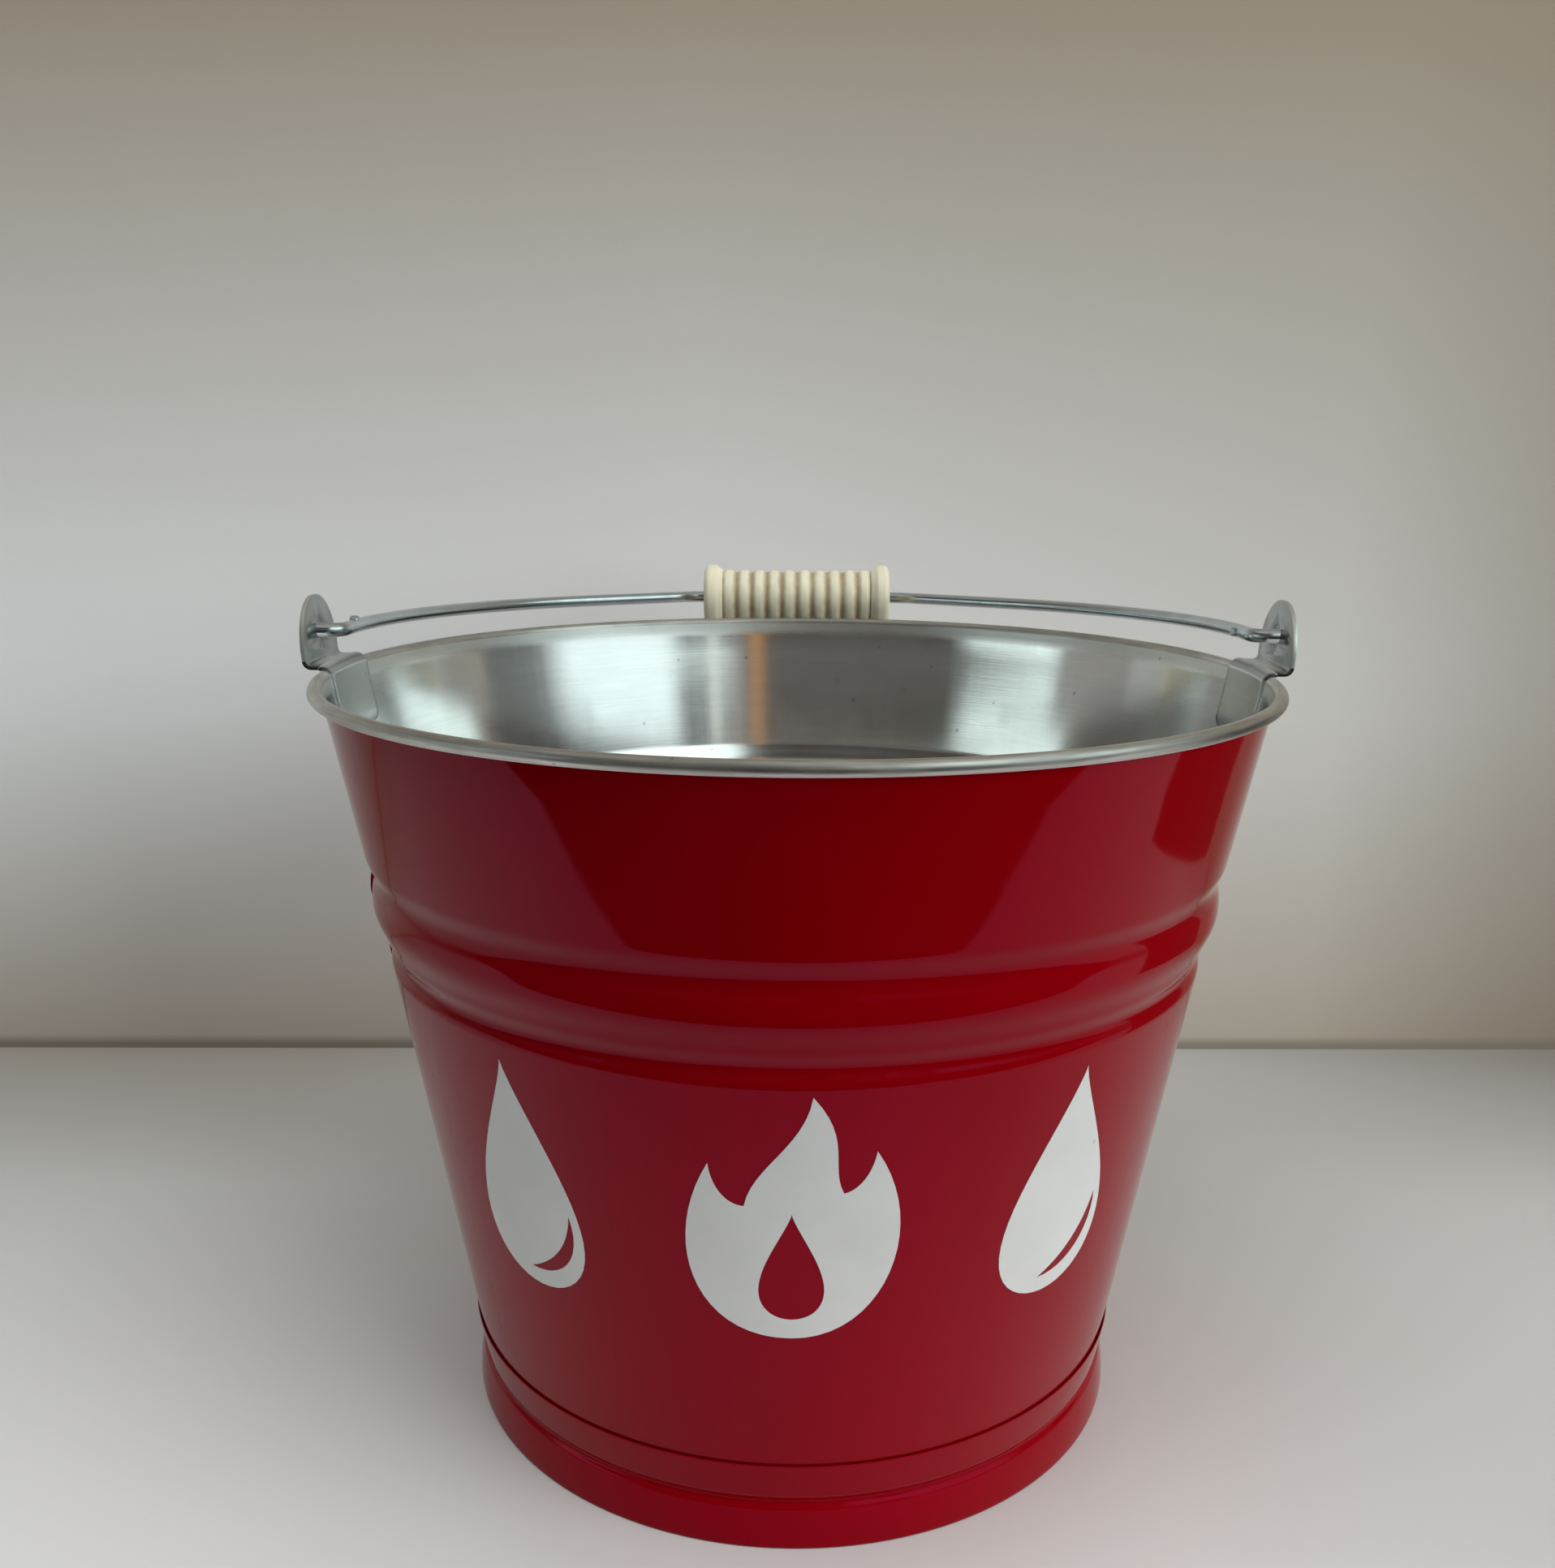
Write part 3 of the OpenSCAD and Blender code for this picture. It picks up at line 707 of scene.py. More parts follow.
# %% [markdown]
# Each ear is one strip of zinc sheet: a tab that is spot-welded inside the wall, a wrap
# over the rim, a bend, and an upright plate with a rounded top. The tab and the wrap
# follow the round rim, so they are spun by a few degrees. The web and the plate are flat,
# so their line is extruded sideways. Corners are rounded by cutting along the round
# corner's tangents, the pivot hole with its slot is punched by a boolean, and a fine
# bevel gives the sheared edges that catch the light. A cut-out flat pattern that is then
# bent would be closer to the real work, but the bend would distort the hole.

# %% Ears
EAR_X, EAR_W, EAR_T, EAR_LEAN, EAR_BEND_R = 148.3, 32.0, 1.2, 4.0, 1.5
PIVOT_Z, PLATE_TOP_Z, WEB_Z = 240.0, 251.0, 229.8
WRAP_R = CURL_D / 2 + 0.3
TAB_W, TAB_Z, TAB_CORNER_R = 36.0, 209.5, 5.0
SHEARED_BEVEL, PLATE_LOW_Z, TAB_HIGH_Z = 0.22, 232.8, 220.0
HOLE_D, HOLE_RISE, SLOT_W, SLOT_END_Z, CUTTER_L = 5.8, 0.4, 2.2, 234.2, 8.0
WEB_SUNK = 0.02
lean_cos, lean_sin = cos(radians(EAR_LEAN)), sin(radians(EAR_LEAN))
bend_in = EAR_BEND_R + EAR_T / 2
bend_z = WEB_Z + EAR_T + EAR_BEND_R
bend_s = (bend_z - PIVOT_Z - bend_in * lean_sin) / lean_cos
bend_x = EAR_X - bend_in * lean_cos + bend_s * lean_sin
plate_top = (PLATE_TOP_Z - PIVOT_Z) / lean_cos
round_s = plate_top - EAR_W / 2


def bisected(point, direction):
    """Cuts off what lies beyond a plane, with the whole mesh selected."""
    bpy.ops.mesh.select_all(action="SELECT")
    bpy.ops.mesh.bisect(
        plane_co=placed(point), plane_no=direction, clear_outer=True, threshold=1e-7
    )


def punched(piece, cutter, operation="DIFFERENCE"):
    apply_modifier(piece, "BOOLEAN", object=cutter, operation=operation, solver="EXACT")
    bpy.data.objects.remove(cutter)


def ear_plate():
    web_top = WEB_Z + EAR_T - WEB_SUNK
    line = [(CURL_R + 0.2, web_top), (bend_x, web_top)]
    line += arc((bend_x, bend_z), EAR_BEND_R, -90, -EAR_LEAN, 8)[1:]
    line += [(
        EAR_X - EAR_T / 2 * lean_cos + plate_top * lean_sin,
        PIVOT_Z + EAR_T / 2 * lean_sin + plate_top * lean_cos,
    )]
    plate = chain("ear_plate", [(x, -EAR_W / 2, z) for x, z in line])
    bpy.ops.mesh.extrude_edges_move(TRANSFORM_OT_translate={"value": placed((0, EAR_W, 0))})
    centre = (EAR_X + round_s * lean_sin, 0, PIVOT_Z + round_s * lean_cos)
    for step in range(1, 36):
        a = radians(5 * step)
        direction = (sin(a) * lean_sin, cos(a), sin(a) * lean_cos)
        bisected([c + EAR_W / 2 * d for c, d in zip(centre, direction)], direction)
    cleaned(plate)
    faced(plate, lambda face: Vector((-1, 0, 0)), lambda face: face.center.z > PLATE_LOW_Z * MM)
    thickened(plate, EAR_T)
    rest()
    bpy.ops.mesh.primitive_cylinder_add(
        vertices=48, radius=HOLE_D / 2 * MM, depth=CUTTER_L * MM,
        location=placed((EAR_X, 0, PIVOT_Z + HOLE_RISE)), rotation=(0, pi / 2, 0),
    )
    hole = bpy.context.object
    bpy.ops.mesh.primitive_cube_add(
        size=1, location=placed((EAR_X, 0, (PIVOT_Z + SLOT_END_Z) / 2)),
        scale=placed((CUTTER_L + 0.4, SLOT_W, PIVOT_Z - SLOT_END_Z)),
    )
    slot = bpy.context.object
    bevelled(slot, 0.5, 3)
    punched(hole, slot, "UNION")
    punched(plate, hole)
    bevelled(plate, SHEARED_BEVEL, 2, 40)
    return plate


def ear_tab():
    seat_z = CURL_Z - 5.5
    line = [(pan_r(z) - EAR_T, z) for z in heights(TAB_Z, seat_z, 6)]
    line += arc((CURL_R, CURL_Z), WRAP_R + EAR_T, 180, 90, 12)
    line += [(CURL_R + 1.0, WEB_Z + EAR_T)]
    start = -asin(TAB_W / 2 / CURL_R)
    tab = chain("ear_tab", [(x * cos(start), x * sin(start), z) for x, z in line])
    spin(20, turn=-2 * degrees(start))
    corner_y = TAB_W / 2 - TAB_CORNER_R
    for side in (-1, 1):
        bisected((0, side * TAB_W / 2, 0), (0, side, 0))
        for step in range(1, 9):
            a = radians(10 * step)
            bisected((
                0, side * (corner_y + TAB_CORNER_R * cos(a)),
                TAB_Z + TAB_CORNER_R - TAB_CORNER_R * sin(a),
            ), (0, side * cos(a), -sin(a)))
    cleaned(tab)
    faced(tab, lambda face: Vector((-1, 0, 0)), lambda face: face.center.z < TAB_HIGH_Z * MM)
    thickened(tab, EAR_T)
    bevelled(tab, SHEARED_BEVEL, 2, 40)
    return tab


ear_right = ear_plate()
punched(ear_right, ear_tab(), "UNION")
smoothed(named(ear_right, "right_ear"), 35)
ear_left = ear_right.copy()
ear_left.data = ear_right.data.copy()
named(ear_left, "left_ear")
bpy.context.scene.collection.objects.link(ear_left)
opened(ear_left)
bpy.ops.transform.resize(value=(-1, 1, 1), center_override=(0, 0, 0))
bpy.ops.mesh.normals_make_consistent(inside=False)
rest()
print("ear has", len(ear_right.data.polygons), "faces")


def ear_faces(piece):
    """Picks the tab's faces and the plate's sheared edges, by their place."""
    for face in piece.data.polygons:
        if face.center.z < (WEB_Z - 1) * MM:
            face.material_index = 1
        elif face.center.z > bend_z * MM and abs(face.normal.x) < 0.75:
            face.material_index = 2


# %% [markdown]
# The bail is one length of steel wire: a peened head outside each ear, a tight bend, a
# wide bow that follows the rim, and a bend on each side of the grip. A circle is carried
# along it by extruding the straight lengths and spinning the bends, which gives true
# round bends. A curve with a bevel would be shorter to write, but its handles only come
# close to an arc. One half is made and mirrored.

# %% Bail
WIRE_D, BOW_R, BOW_RISE, BOW_TURN, ARM_L = 4.4, 141.0, 11.0, 55.989, 39.735
BAIL_REACH, KINK_X, KINK_R = 152.5, 38.1, 14.0
ELBOW_X, ELBOW_R, HEAD_X, HEAD_D, HEAD_H = 146.0, 5.0, 149.45, 6.4, 2.4
REST_DIP = 1.18683


def extended(x, y):
    """Extrudes the open end of the wire."""
    bpy.ops.mesh.extrude_edges_move(TRANSFORM_OT_translate={"value": placed((x, y, 0))})


def resized(factor, centre):
    bpy.ops.transform.resize(value=(factor,) * 3, center_override=placed(centre))


rest()
bpy.ops.mesh.primitive_circle_add(
    vertices=28, radius=WIRE_D / 2 * MM, location=placed((0, BAIL_REACH, 0)),
    rotation=(0, pi / 2, 0),
)
bail = named(bpy.context.object, "bail_wire")
bpy.ops.object.transform_apply(location=True, rotation=True, scale=True)
bpy.ops.object.mode_set(mode="EDIT")
bpy.ops.mesh.select_all(action="SELECT")
extended(KINK_X, 0)
spin(14, turn=BOW_TURN - 90, centre=(KINK_X, BAIL_REACH - KINK_R, 0))
heading = radians(BOW_TURN)
extended(ARM_L * sin(heading), -ARM_L * cos(heading))
spin(56, turn=-BOW_TURN, centre=(0, BOW_RISE, 0))
extended(0, ELBOW_R - BOW_RISE)
spin(12, turn=90, centre=(ELBOW_X, ELBOW_R, 0))
extended(HEAD_X - ELBOW_X, 0)
extended(0, 0)
resized(HEAD_D / WIRE_D, (HEAD_X, 0, 0))
ball_r = (HEAD_D ** 2 / 4 + HEAD_H ** 2) / (2 * HEAD_H)
half_turn = acos(1 - HEAD_H / ball_r)
ring_x, ring_radius = HEAD_X, HEAD_D / 2
for step in range(1, 8):
    a = half_turn * (1 - step / 7.5)
    x, radius = HEAD_X + HEAD_H - ball_r * (1 - cos(a)), ball_r * sin(a)
    extended(x - ring_x, 0)
    resized(radius / ring_radius, (x, 0, 0))
    ring_x, ring_radius = x, radius
bpy.ops.mesh.edge_face_add()
apply_modifier(bail, "MIRROR", use_axis=(True, False, False), merge_threshold=1e-6)
print("bail wire has", len(bail.data.polygons), "faces")

# %% [markdown]
# A die has pressed a nib out of the wire beside each ear, so that the bail can't slide
# through its hole. The left one stands on top of the wire and the right one points to the
# bucket. Each starts as a short cylinder across the wire and gets a soft edge. The whole
# bail is then laid back until its grip touches the rim.

# %% Nibs, and the bail at rest
NIB_D, NIB_T, NIB_RISE, NIB_AT = 3.6, 2.8, 1.5, 15
nib_turn = asin((NIB_AT - BOW_RISE) / BOW_R)


def nib(name, reach, lift, rotation):
    rest()
    bpy.ops.mesh.primitive_cylinder_add(
        vertices=32, radius=NIB_D / 2 * MM, depth=NIB_T * MM, rotation=rotation,
        location=placed((
            reach * cos(nib_turn), BOW_RISE + abs(reach) * sin(nib_turn), lift
        )),
    )
    made = bpy.context.object
    made.name = name
    bpy.ops.object.transform_apply(location=True, rotation=True, scale=True)
    return bevelled(made, 0.7, 4)


nibs = [
    nib("left_nib", -BOW_R, NIB_RISE, (0, pi / 2, -nib_turn)),
    nib("right_nib", BOW_R - NIB_RISE, 0, (0, 0, nib_turn)),
]
pick_only(bail)
for made in nibs:
    made.select_set(True)
bpy.ops.object.join()
opened(bail)
bpy.ops.mesh.normals_make_consistent(inside=False)
bpy.ops.transform.rotate(value=radians(REST_DIP), orient_axis="X", center_override=(0, 0, 0))
bpy.ops.transform.translate(value=placed((0, 0, PIVOT_Z)))
smoothed(bail, 40)

# %% [markdown]
# The grip is turned: two collars that are rounded outside and flare to the middle, and
# between them round ridges with soft grooves. The whole section, with its bore, is one
# closed line that is spun about the wire. An array of rings would leave seams.

# %% Grip
GRIP_L, RIDGE_R, GROOVE_DEPTH, PITCH, RIDGES = 75.0, 11.0, 1.0, 6.1, 8
COLLAR_R, COLLAR_W, COLLAR_ROUND, BORE_R = 13.0, 7.6, 2.4, 2.5
BORE_CHAMFER, FLARE_L, GROOVE_SHAPE = 0.4, 3.2, 1.5
half_l = GRIP_L / 2
ridges_end = half_l - COLLAR_W
left_collar = [(-half_l, BORE_R + BORE_CHAMFER), (-half_l, COLLAR_R - COLLAR_ROUND - 1.5)]
left_collar += arc((-half_l + COLLAR_ROUND, COLLAR_R - COLLAR_ROUND), COLLAR_ROUND, 180, 90, 8)
flare = [(0, 13.0), (0.7, 12.75), (1.3, 12.2), (2.0, 11.55), (2.9, 11.15)]
left_collar += [(x - ridges_end - FLARE_L, r) for x, r in flare]


def ridge_height(x):
    offset = abs((x / PITCH + RIDGES % 2 / 2) % 1 - 0.5) * 2
    return RIDGE_R - GROOVE_DEPTH * (1 - cos(pi * offset ** GROOVE_SHAPE)) / 2


ridge_line = [(x, ridge_height(x)) for x in heights(-ridges_end, ridges_end, PITCH / 20)]
print("groove bottom", min(r for x, r in ridge_line))
right_collar = [(-x, r) for x, r in reversed(left_collar)]
bore_end = half_l - BORE_CHAMFER
bore = [(bore_end, BORE_R), (-bore_end, BORE_R), left_collar[0]]
grip_section = left_collar + ridge_line + right_collar + bore
grip = lathed("turned_grip", grip_section, steps=96, axis=(1, 0, 0))
opened(grip)
bpy.ops.transform.translate(value=placed(GRIP_AT))
smoothed(grip, 50)

# %% [markdown]
# Three plain white signs stand on the front of the lower wall: a flame between two drops
# of water. They are printed film, so each is a flat outline that is filled, cut into
# narrow strips, pressed onto the wall and given the film's thickness. The strips let it
# take the wall's curve. The side signs are pressed on in front and then turned round the
# bucket. Signs in the paint's material would be quicker, but would have no edge.

# %% White signs
SIGN_Z, SIGN_TURN, SIGN_HALF, FILM_T, FILM_GAP = 106.0, 37.5, 32, 0.12, 0.03
FRONT_Y, STRIP, STRIP_SHIFT = -150, 2, 0.013
DROP_STEPS, DROP_POINT, DROP_FULL = 56, 1.6, 1.72


def curved(start, pull_a, pull_b, end, steps=12):
    """Points of a cubic curve, without its last point."""
    points = []
    for i in range(steps):
        t = i / steps
        weights = ((1 - t) ** 3, 3 * t * (1 - t) ** 2, 3 * t * t * (1 - t), t ** 3)
        points.append(tuple(
            sum(w * p[k] for w, p in zip(weights, (start, pull_a, pull_b, end))) for k in (0, 1)
        ))
    return points


def drop_outline(width, height, low):
    """A drop of water: a circle whose one side is drawn in to a point."""
    points = []
    for i in range(DROP_STEPS):
        t = 2 * pi * i / DROP_STEPS
        side = sin(t) * abs(sin(t / 2)) ** DROP_POINT
        points.append((side * width / DROP_FULL, low + height * (1 + cos(t)) / 2))
    return points


def sign(name, outline, inner, turn_by):
    made = None
    for loop in (outline, inner):
        line = [(x, FRONT_Y, SIGN_Z + z) for x, z in loop]
        part = chain(name, line + line[:1])
        bpy.ops.mesh.remove_doubles(threshold=MERGE_M)
        rest()
        if made:
            pick_only(made)
            part.select_set(True)
            bpy.ops.object.join()
        else:
            made = part
    opened(made)
    bpy.ops.mesh.fill()
    for x in range(-SIGN_HALF, SIGN_HALF + 1, STRIP):
        bpy.ops.mesh.select_all(action="SELECT")
        bpy.ops.mesh.bisect(plane_co=placed((x + STRIP_SHIFT, 0, 0)), plane_no=(1, 0, 0))
    bpy.ops.mesh.select_all(action="SELECT")
    bpy.ops.mesh.remove_doubles(threshold=MERGE_M)
    rest()
    faced(made, lambda face: Vector((0, -1, 0)))
    apply_modifier(
        made, "SHRINKWRAP", target=body_shell, wrap_method="PROJECT", use_project_y=True,
        use_negative_direction=False, use_positive_direction=True,
        offset=(FILM_T + FILM_GAP) * MM, wrap_mode="ABOVE_SURFACE",
    )
    thickened(made, FILM_T)
    opened(made)
    bpy.ops.transform.rotate(value=radians(-turn_by), orient_axis="Z", center_override=(0, 0, 0))
    return smoothed(made, 30)


flame = curved((5, 37), (15, 25), (9, 17), (13, 9))
flame += curved((13, 9), (17, 10), (20, 15), (21, 21))
flame += curved((21, 21), (35, -2), (25, -36), (0, -36), 20)
flame += curved((0, -36), (-27, -36), (-33, -6), (-21, 17), 20)
flame += curved((-21, 17), (-20, 9), (-16, 5), (-12, 5))
flame += curved((-12, 5), (-10, 17), (3, 23), (5, 37))
flame_heart = drop_outline(21, 33, -30)
drop = drop_outline(46, 70, -35)
shine = curved((15, -8), (18, -22), (8, -31), (-3, -30))
shine += curved((-3, -30), (6, -26), (13, -19), (15, -8))
signs = [
    sign("left_drop_sign", drop, shine, -SIGN_TURN),
    sign("flame_sign", flame, flame_heart, 0),
    sign("right_drop_sign", drop, shine, SIGN_TURN),
]
print("signs", [tuple(round(c, 3) for c in s.bound_box[0]) for s in signs])

# %% [markdown]
# Each piece now gets its finish, a body to move with, and the CAD solids that it stands
# for; each row also names the record's material slot, which nothing here reads. The wire
# in the rolled rim is the CAD solid itself: it lies out of sight inside the curl, so only
# its finish is set.

# %% Finishes, bodies and CAD solids
rim_faces(body_shell)
ear_faces(ear_left)
ear_faces(ear_right)
rows = (
    (body_shell, "bucket", "red_enamel", (zinc_inside, zinc_rim, red_enamel), "body_shell"),
    (lock_seam, "bucket", "red_enamel", (red_enamel,), None),
    (bottom_pan, "bucket", "zinc_sheet", (zinc_bottom,), "bottom_pan"),
    (bottom_seal, "bucket", "seal_compound", (compound,), "bottom_seal"),
    (foot_ring, "bucket", "red_enamel", (red_enamel,), "foot_ring"),
    (ear_left, "bucket", "zinc_sheet", (zinc_ear, zinc_tab, zinc_edge), "ear_left"),
    (ear_right, "bucket", "zinc_sheet", (zinc_ear, zinc_tab, zinc_edge), "ear_right"),
    (bail, "bail", "steel_wire", (steel_wire,), "bail"),
    (grip, "grip", "ivory_grip", (ivory_grip,), "grip"),
    *((made, "bucket", "white_print", (white_print,), None) for made in signs),
)
for piece, body, slot, finishes, node in rows:
    for place_in, finish in enumerate(finishes):
        if place_in < len(piece.data.materials):
            piece.data.materials[place_in] = finish
        else:
            piece.data.materials.append(finish)
    piece_done(piece, body, node)
for slot_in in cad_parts["rim_wire"].material_slots:
    slot_in.material = steel_wire
# The real zinc is too dull to mirror the ears, so reflections leave them out.
ear_left.visible_glossy = ear_right.visible_glossy = False

# %% [markdown]
# The bucket stands on a pale satin sill in front of a pale backdrop. The window stands in
# front of them on the right, and the sill's colour carries it as painted light and shade:
# brighter towards its front and darker in the corners behind. Both fade into the world's
# own colour with distance, so that no edge shows from other sides, and the backdrop is
# clear when it is seen from behind. It is a plane, because a curved sweep would hide the
# line where the sill meets it. It is turned a little, since the photograph was taken
# slightly from one side. Its colour has painted shade too: darker near the sill, towards
# its top and on the right, with a soft dark line of painted shadow at its foot.

# %% Sill and backdrop
SILL_BACK, BACKDROP_Y, BACKDROP_TURN = 255.0, 247.0, 1.24
WORLD_TONE, WORLD_FILL = (0.42, 0.41, 0.385), (0.06, 0.06, 0.06)
UPRIGHT = pi / 2


def shaded(tree, tone, rows):
    """Mixes more tones into a tone. Each comes where all its ranges overlap."""
    for level, *slopes in rows:
        share = ranged(tree, *slopes[0])
        for slope in slopes[1:]:
            share = times(tree, share, ranged(tree, *slope))
        tone = mixed(tree, share, tone, level)
    return tone


def stage_plane(name, size_x, size_y, place, rotation=(0, 0, 0)):
    """A plane of the stage, in millimetres. It isn't part of the bucket."""
    rest()
    bpy.ops.mesh.primitive_plane_add(size=1, location=placed(place), rotation=rotation)
    made = named(bpy.context.object, name)
    made.scale = (size_x * MM, size_y * MM, 1)
    bpy.ops.object.transform_apply(location=True, rotation=True, scale=True)
    return made


def faded(tree, shader, place, centre, near, far, backface):
    """Mixes a finish into clear with distance, and if asked where it is seen from behind."""
    share = ranged(tree, vectors(tree, "DISTANCE", place, placed(centre)), near, far)
    if backface:
        behind = tree.nodes.new("ShaderNodeNewGeometry").outputs["Backfacing"]
        share = maths(tree, "MAXIMUM", share, behind)
    clear = tree.nodes.new("ShaderNodeBsdfTransparent").outputs[0]
    mix = add_node(tree, "ShaderNodeMixShader", {0: share, 1: shader.outputs[0], 2: clear})
    tree.links.new(mix.outputs[0], tree.nodes["Material Output"].inputs[0])


# The sill's colour has painted shade: it darkens from front to back, in both back corners,
# and a little on the right. What it throws back on the bucket ends at its front edge.
sill_paint, tree, shader, place = new_finish("sill_paint", Specular_IOR_Level=0.3)
clouds = grouped(tree, blotches, place, 5.0, 1.6)
marks = grouped(tree, specks, place, 26.0, 0.03, 0.9)
side, depth, _ = axes(tree, place)
tone = mixed(tree, ranged(tree, depth, -0.21, 0.16), (0.855, 0.865, 0.86), (0.43, 0.44, 0.42))
tone = shaded(tree, tone, (
    ((0.33, 0.305, 0.265), (depth, 0.1, 0.25), (side, -0.06, -0.24)),
    ((0.4, 0.4, 0.395), (side, 0.08, 0.35, 0.0, 0.35)),
    ((0.17, 0.15, 0.125), (depth, 0.1, 0.24), (side, 0.16, 0.42, 0.0, 0.85)),
    ((0.42, 0.42, 0.42), (depth, 0.04, -0.09), (side, 0.11, 0.22, 0.0, 0.35)),
))
tone = mixed(tree, times(tree, clouds, 0.12), tone, (0.5, 0.49, 0.47))
tone = mixed(tree, times(tree, marks, 0.3), tone, (0.25, 0.23, 0.2))
bounced = tree.nodes.new("ShaderNodeLightPath").outputs["Is Diffuse Ray"]
beyond = times(tree, bounced, ranged(tree, depth, -0.26, -0.3))
tone = mixed(tree, beyond, tone, WORLD_FILL)
rough = ranged(tree, clouds, 0.0, 1.0, 0.5, 0.4)
covered(tree, shader, tone, rough, noise(tree, place, 60.0), 0.00005)
faded(tree, shader, place, (0, 0, 0), 1.1, 1.9, False)
sill = stage_plane("sill", 4000, 4000, (0, 0, 0))
sill.data.materials.append(sill_paint)

backdrop_paint, tree, shader, place = new_finish("backdrop_paint", Specular_IOR_Level=0.2)
shader.inputs["Roughness"].default_value = 0.7
side, _, height_up = axes(tree, place)
# Painted shade: darker near the sill, towards the top and on the right, and a dark line of painted
# shadow at the foot.
tone = mixed(tree, ranged(tree, height_up, 0.0, 0.17), (0.55, 0.5, 0.43), (0.9, 0.945, 0.94))
tone = shaded(tree, tone, (
    ((0.4, 0.34, 0.26), (height_up, 0.2, 0.5)),
    ((0.3, 0.27, 0.2), (side, -0.05, 0.35, 0.0, 0.55)),
    ((0.2, 0.155, 0.115), (side, 0.26, 0.42, 0.0, 0.7), (height_up, 0.1, 0.5, 1.0, 0.4)),
    ((0.2, 0.18, 0.145), (height_up, 0.0025, 0.007, 0.75, 0.0)),
))
feed(tree, tone, shader, "Base Color")
bumped(tree, shader, noise(tree, place, 40.0), 0.0001)
faded(tree, shader, place, (0, SILL_BACK, 300), 0.9, 1.6, True)
backdrop = stage_plane(
    "backdrop", 4000, 3000, (0, BACKDROP_Y, 1500), (UPRIGHT, 0, radians(BACKDROP_TURN))
)
backdrop.data.materials.append(backdrop_paint)
print("backdrop faces", tuple(backdrop.data.polygons[0].normal))

# %% [markdown]
# Shiny paint and bare metal show what stands round them more than how they are lit. So
# what they show is set apart from the light: a large round card, which only reflections
# can see, stands for the room. It is dim, with soft patches for a wide window on the
# right, a low one on the left, a pale ceiling, a pale post beside a dark gap, and a warm
# strip of light. Other cards stand for the dark floor in front of the sill and for the
# niche's two sides.

# %% World and cards
world = bpy.data.worlds.new("studio")
bpy.context.scene.world = world
world.use_nodes = True
tree = world.node_tree
background = tree.nodes["Background"]
ray = tree.nodes.new("ShaderNodeLightPath").outputs
shown = maths(tree, "MAXIMUM", ray["Is Camera Ray"], ray["Is Glossy Ray"])
shown = maths(tree, "MAXIMUM", shown, ray["Is Transmission Ray"])
tree.links.new(mixed(tree, shown, WORLD_FILL, WORLD_TONE), background.inputs["Color"])


def glowing(card):
    """A card that only reflections see. Gives its tree, its glow and its coordinates."""
    made = bpy.data.materials.new(card.name)
    made.use_nodes = True
    tree = made.node_tree
    tree.nodes.remove(tree.nodes["Principled BSDF"])
    glow = add_node(tree, "ShaderNodeEmission", {"Strength": 1.0})
    tree.links.new(glow.outputs[0], tree.nodes["Material Output"].inputs[0])
    card.data.materials.append(made)
    card.visible_camera = card.visible_diffuse = card.visible_shadow = False
    card.visible_transmission = card.visible_volume_scatter = False
    return tree, glow, tree.nodes.new("ShaderNodeTexCoord").outputs["Object"]


def plain_card(name, size_x, size_y, place, rotation, level):
    glow = glowing(stage_plane(name, size_x, size_y, place, rotation))[1]
    glow.inputs["Color"].default_value = opaque(level)


SILL_FRONT, NICHE_HALF = -275.0, 480.0
plain_card("dark_floor_card", 8000, 4000, (0, SILL_FRONT - 2000, 1), (0, 0, 0), (0.01, 0.01, 0.01))
side_turn = (UPRIGHT, 0, UPRIGHT)
plain_card("left_side_card", 400, 300, (-NICHE_HALF, 205, 300), side_turn, (0.3, 0.29, 0.27))
plain_card("right_side_card", 260, 260, (NICHE_HALF, 100, 130), side_turn, (0.04, 0.03, 0.03))

ROOM_R, ROOM_LOW, ROOM_TOP, ROOM_EYE = 6000.0, -2500, 7500, 200.0
room = chain("room_card", [(0, -ROOM_R, z) for z in (ROOM_LOW, ROOM_TOP)])
spin(48)
cleaned(room)
tree, glow, place = glowing(room)
side, depth, height_up = axes(tree, place)
azimuth = maths(tree, "ARCTAN2", side, times(tree, depth, -1.0))
rise = maths(tree, "DIVIDE", maths(tree, "SUBTRACT", height_up, ROOM_EYE * MM), ROOM_R * MM)


def soft_band(value, ends, soft):
    """The rise and the fall of a soft band of a value."""
    low, high = ends
    soft /= 2
    return (value, low - soft, low + soft), (value, high - soft, high + soft, 1.0, 0.0)


high_up = ranged(tree, rise, 0.235, 0.28)
room_tone = mixed(tree, high_up, (0.075, 0.07, 0.06), (0.16, 0.157, 0.15))
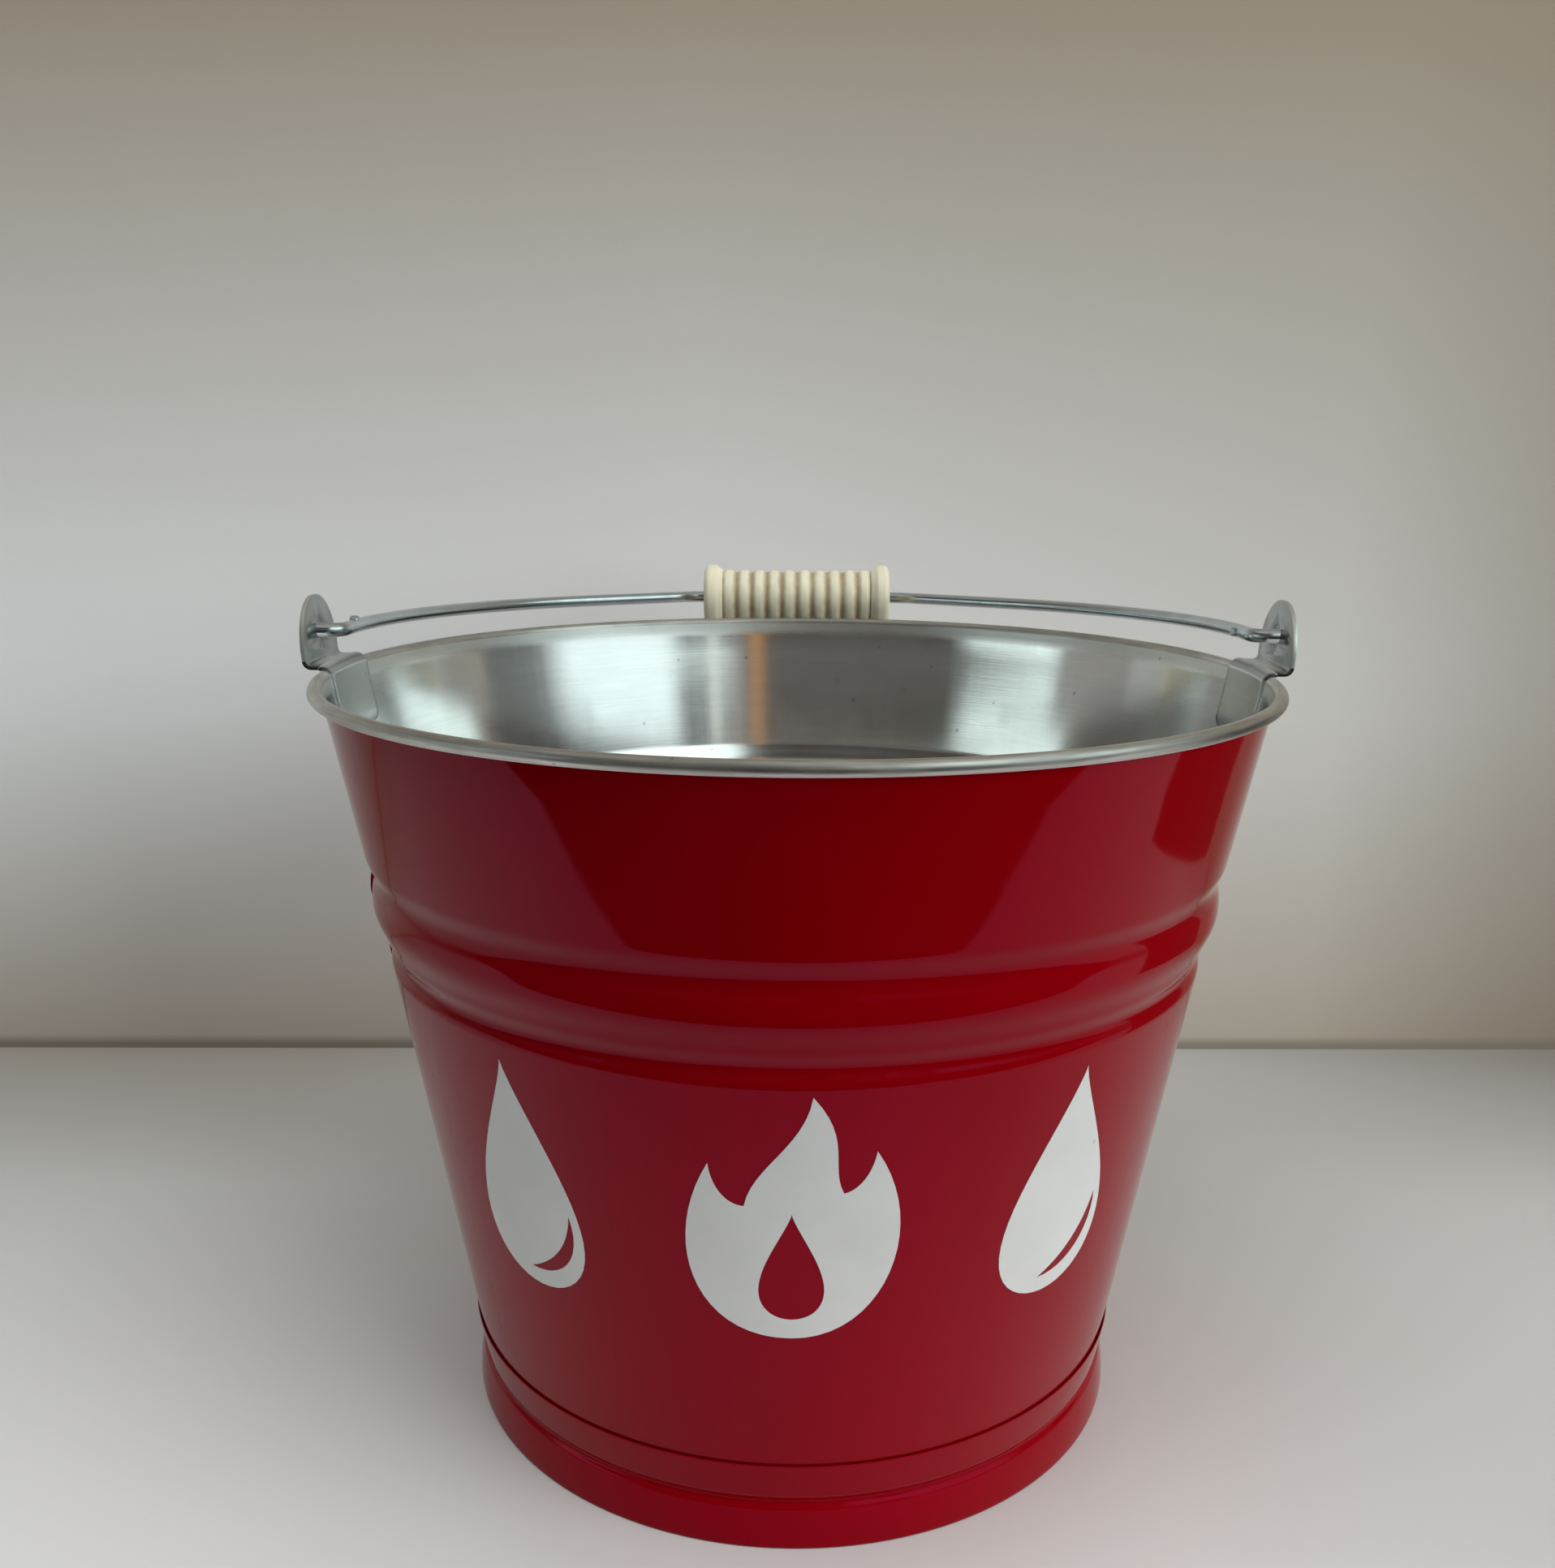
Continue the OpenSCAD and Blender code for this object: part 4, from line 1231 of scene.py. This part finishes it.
# Each patch: its ends in azimuth and in elevation, how soft they are, in degrees, its tone.
for ends, heights_seen, softness, tone in (
    ((15, 33), (-20, 40), (3, 6), (0.22, 0.21, 0.19)),
    ((76, 186), (-20, 60), (12, 6), (0.155, 0.165, 0.16)),
    ((-184, -62), (-20, 60), (12, 6), (0.11, 0.115, 0.105)),
    ((-105, -66), (6, 13.6), (16, 3), (0.42, 0.46, 0.43)),
    ((-75, 14), (20, 46), (10, 5), (0.07, 0.06, 0.055)),
    ((-60, 60), (47, 85), (20, 8), (0.5, 0.49, 0.46)),
    ((-80, -50.5), (4, 11.2), (7, 2), (1.4, 1.66, 1.6)),
    ((35.5, 75), (3, 45), (10, 4), (0.98, 1.14, 1.15)),
    ((19, 88), (16.2, 45), (6, 2.5), (1.25, 1.45, 1.38)),
    ((23.4, 26.4), (4, 16), (0.8, 3), (0.7, 0.75, 0.71)),
    ((27.5, 35.5), (-20, 15.2), (2, 3), (0.15, 0.17, 0.17)),
    ((10.2, 13.6), (3, 22), (2.5, 4), (0.56, 0.28, 0.1)),
):
    across = soft_band(azimuth, [radians(end) for end in ends], radians(softness[0]))
    upwards = [tan(radians(end)) for end in heights_seen]
    upwards = soft_band(rise, upwards, radians(softness[1]))
    room_tone = shaded(tree, room_tone, ((tone, *across, *upwards),))
feed(tree, room_tone, glow, "Color")
print("room card", tuple(room.dimensions))

# %% [markdown]
# The light itself comes from large soft lamps that reflections can't see: a window on the
# right, a little above the bucket, a weak one on the left, and one overhead that only the
# sill takes, because the wall leans away from it. Their levels keep the pale sill and the
# backdrop below white.

# %% Lamps
LAMP_AIM = (0, 0, 150)


def soft_lamp(name, azimuth, elevation, distance, level):
    """A soft lamp that fills a range of azimuth and a range of elevation, in degrees."""
    middle = [radians(sum(ends) / 2) for ends in (azimuth, elevation)]
    half = [radians((ends[1] - ends[0]) / 2) for ends in (azimuth, elevation)]
    data = bpy.data.lights.new(name, "AREA")
    data.shape = "RECTANGLE"
    data.size, data.size_y = (2 * distance * tan(h) for h in half)
    data.energy = level * pi * data.size * data.size_y
    lamp = bpy.data.objects.new(name, data)
    bpy.context.scene.collection.objects.link(lamp)
    side, rise = middle
    out = Vector((sin(side) * cos(rise), -cos(side) * cos(rise), sin(rise)))
    lamp.location = out * distance + placed(LAMP_AIM)
    lamp.rotation_mode = "QUATERNION"
    lamp.rotation_quaternion = out.to_track_quat("Z", "Y")
    lamp.visible_camera = lamp.visible_glossy = False
    print(name, tuple(round(c, 2) for c in lamp.location), round(data.energy, 2), "W")


soft_lamp("right_window", (32, 79), (2, 36), 2.2, 4.1)
soft_lamp("left_window", (-90, -50), (0, 24), 1.5, 0.4)
soft_lamp("ceiling", (-30, 30), (60, 98), 2.8, 3.15)
bpy.context.scene.view_settings.view_transform = "Standard"
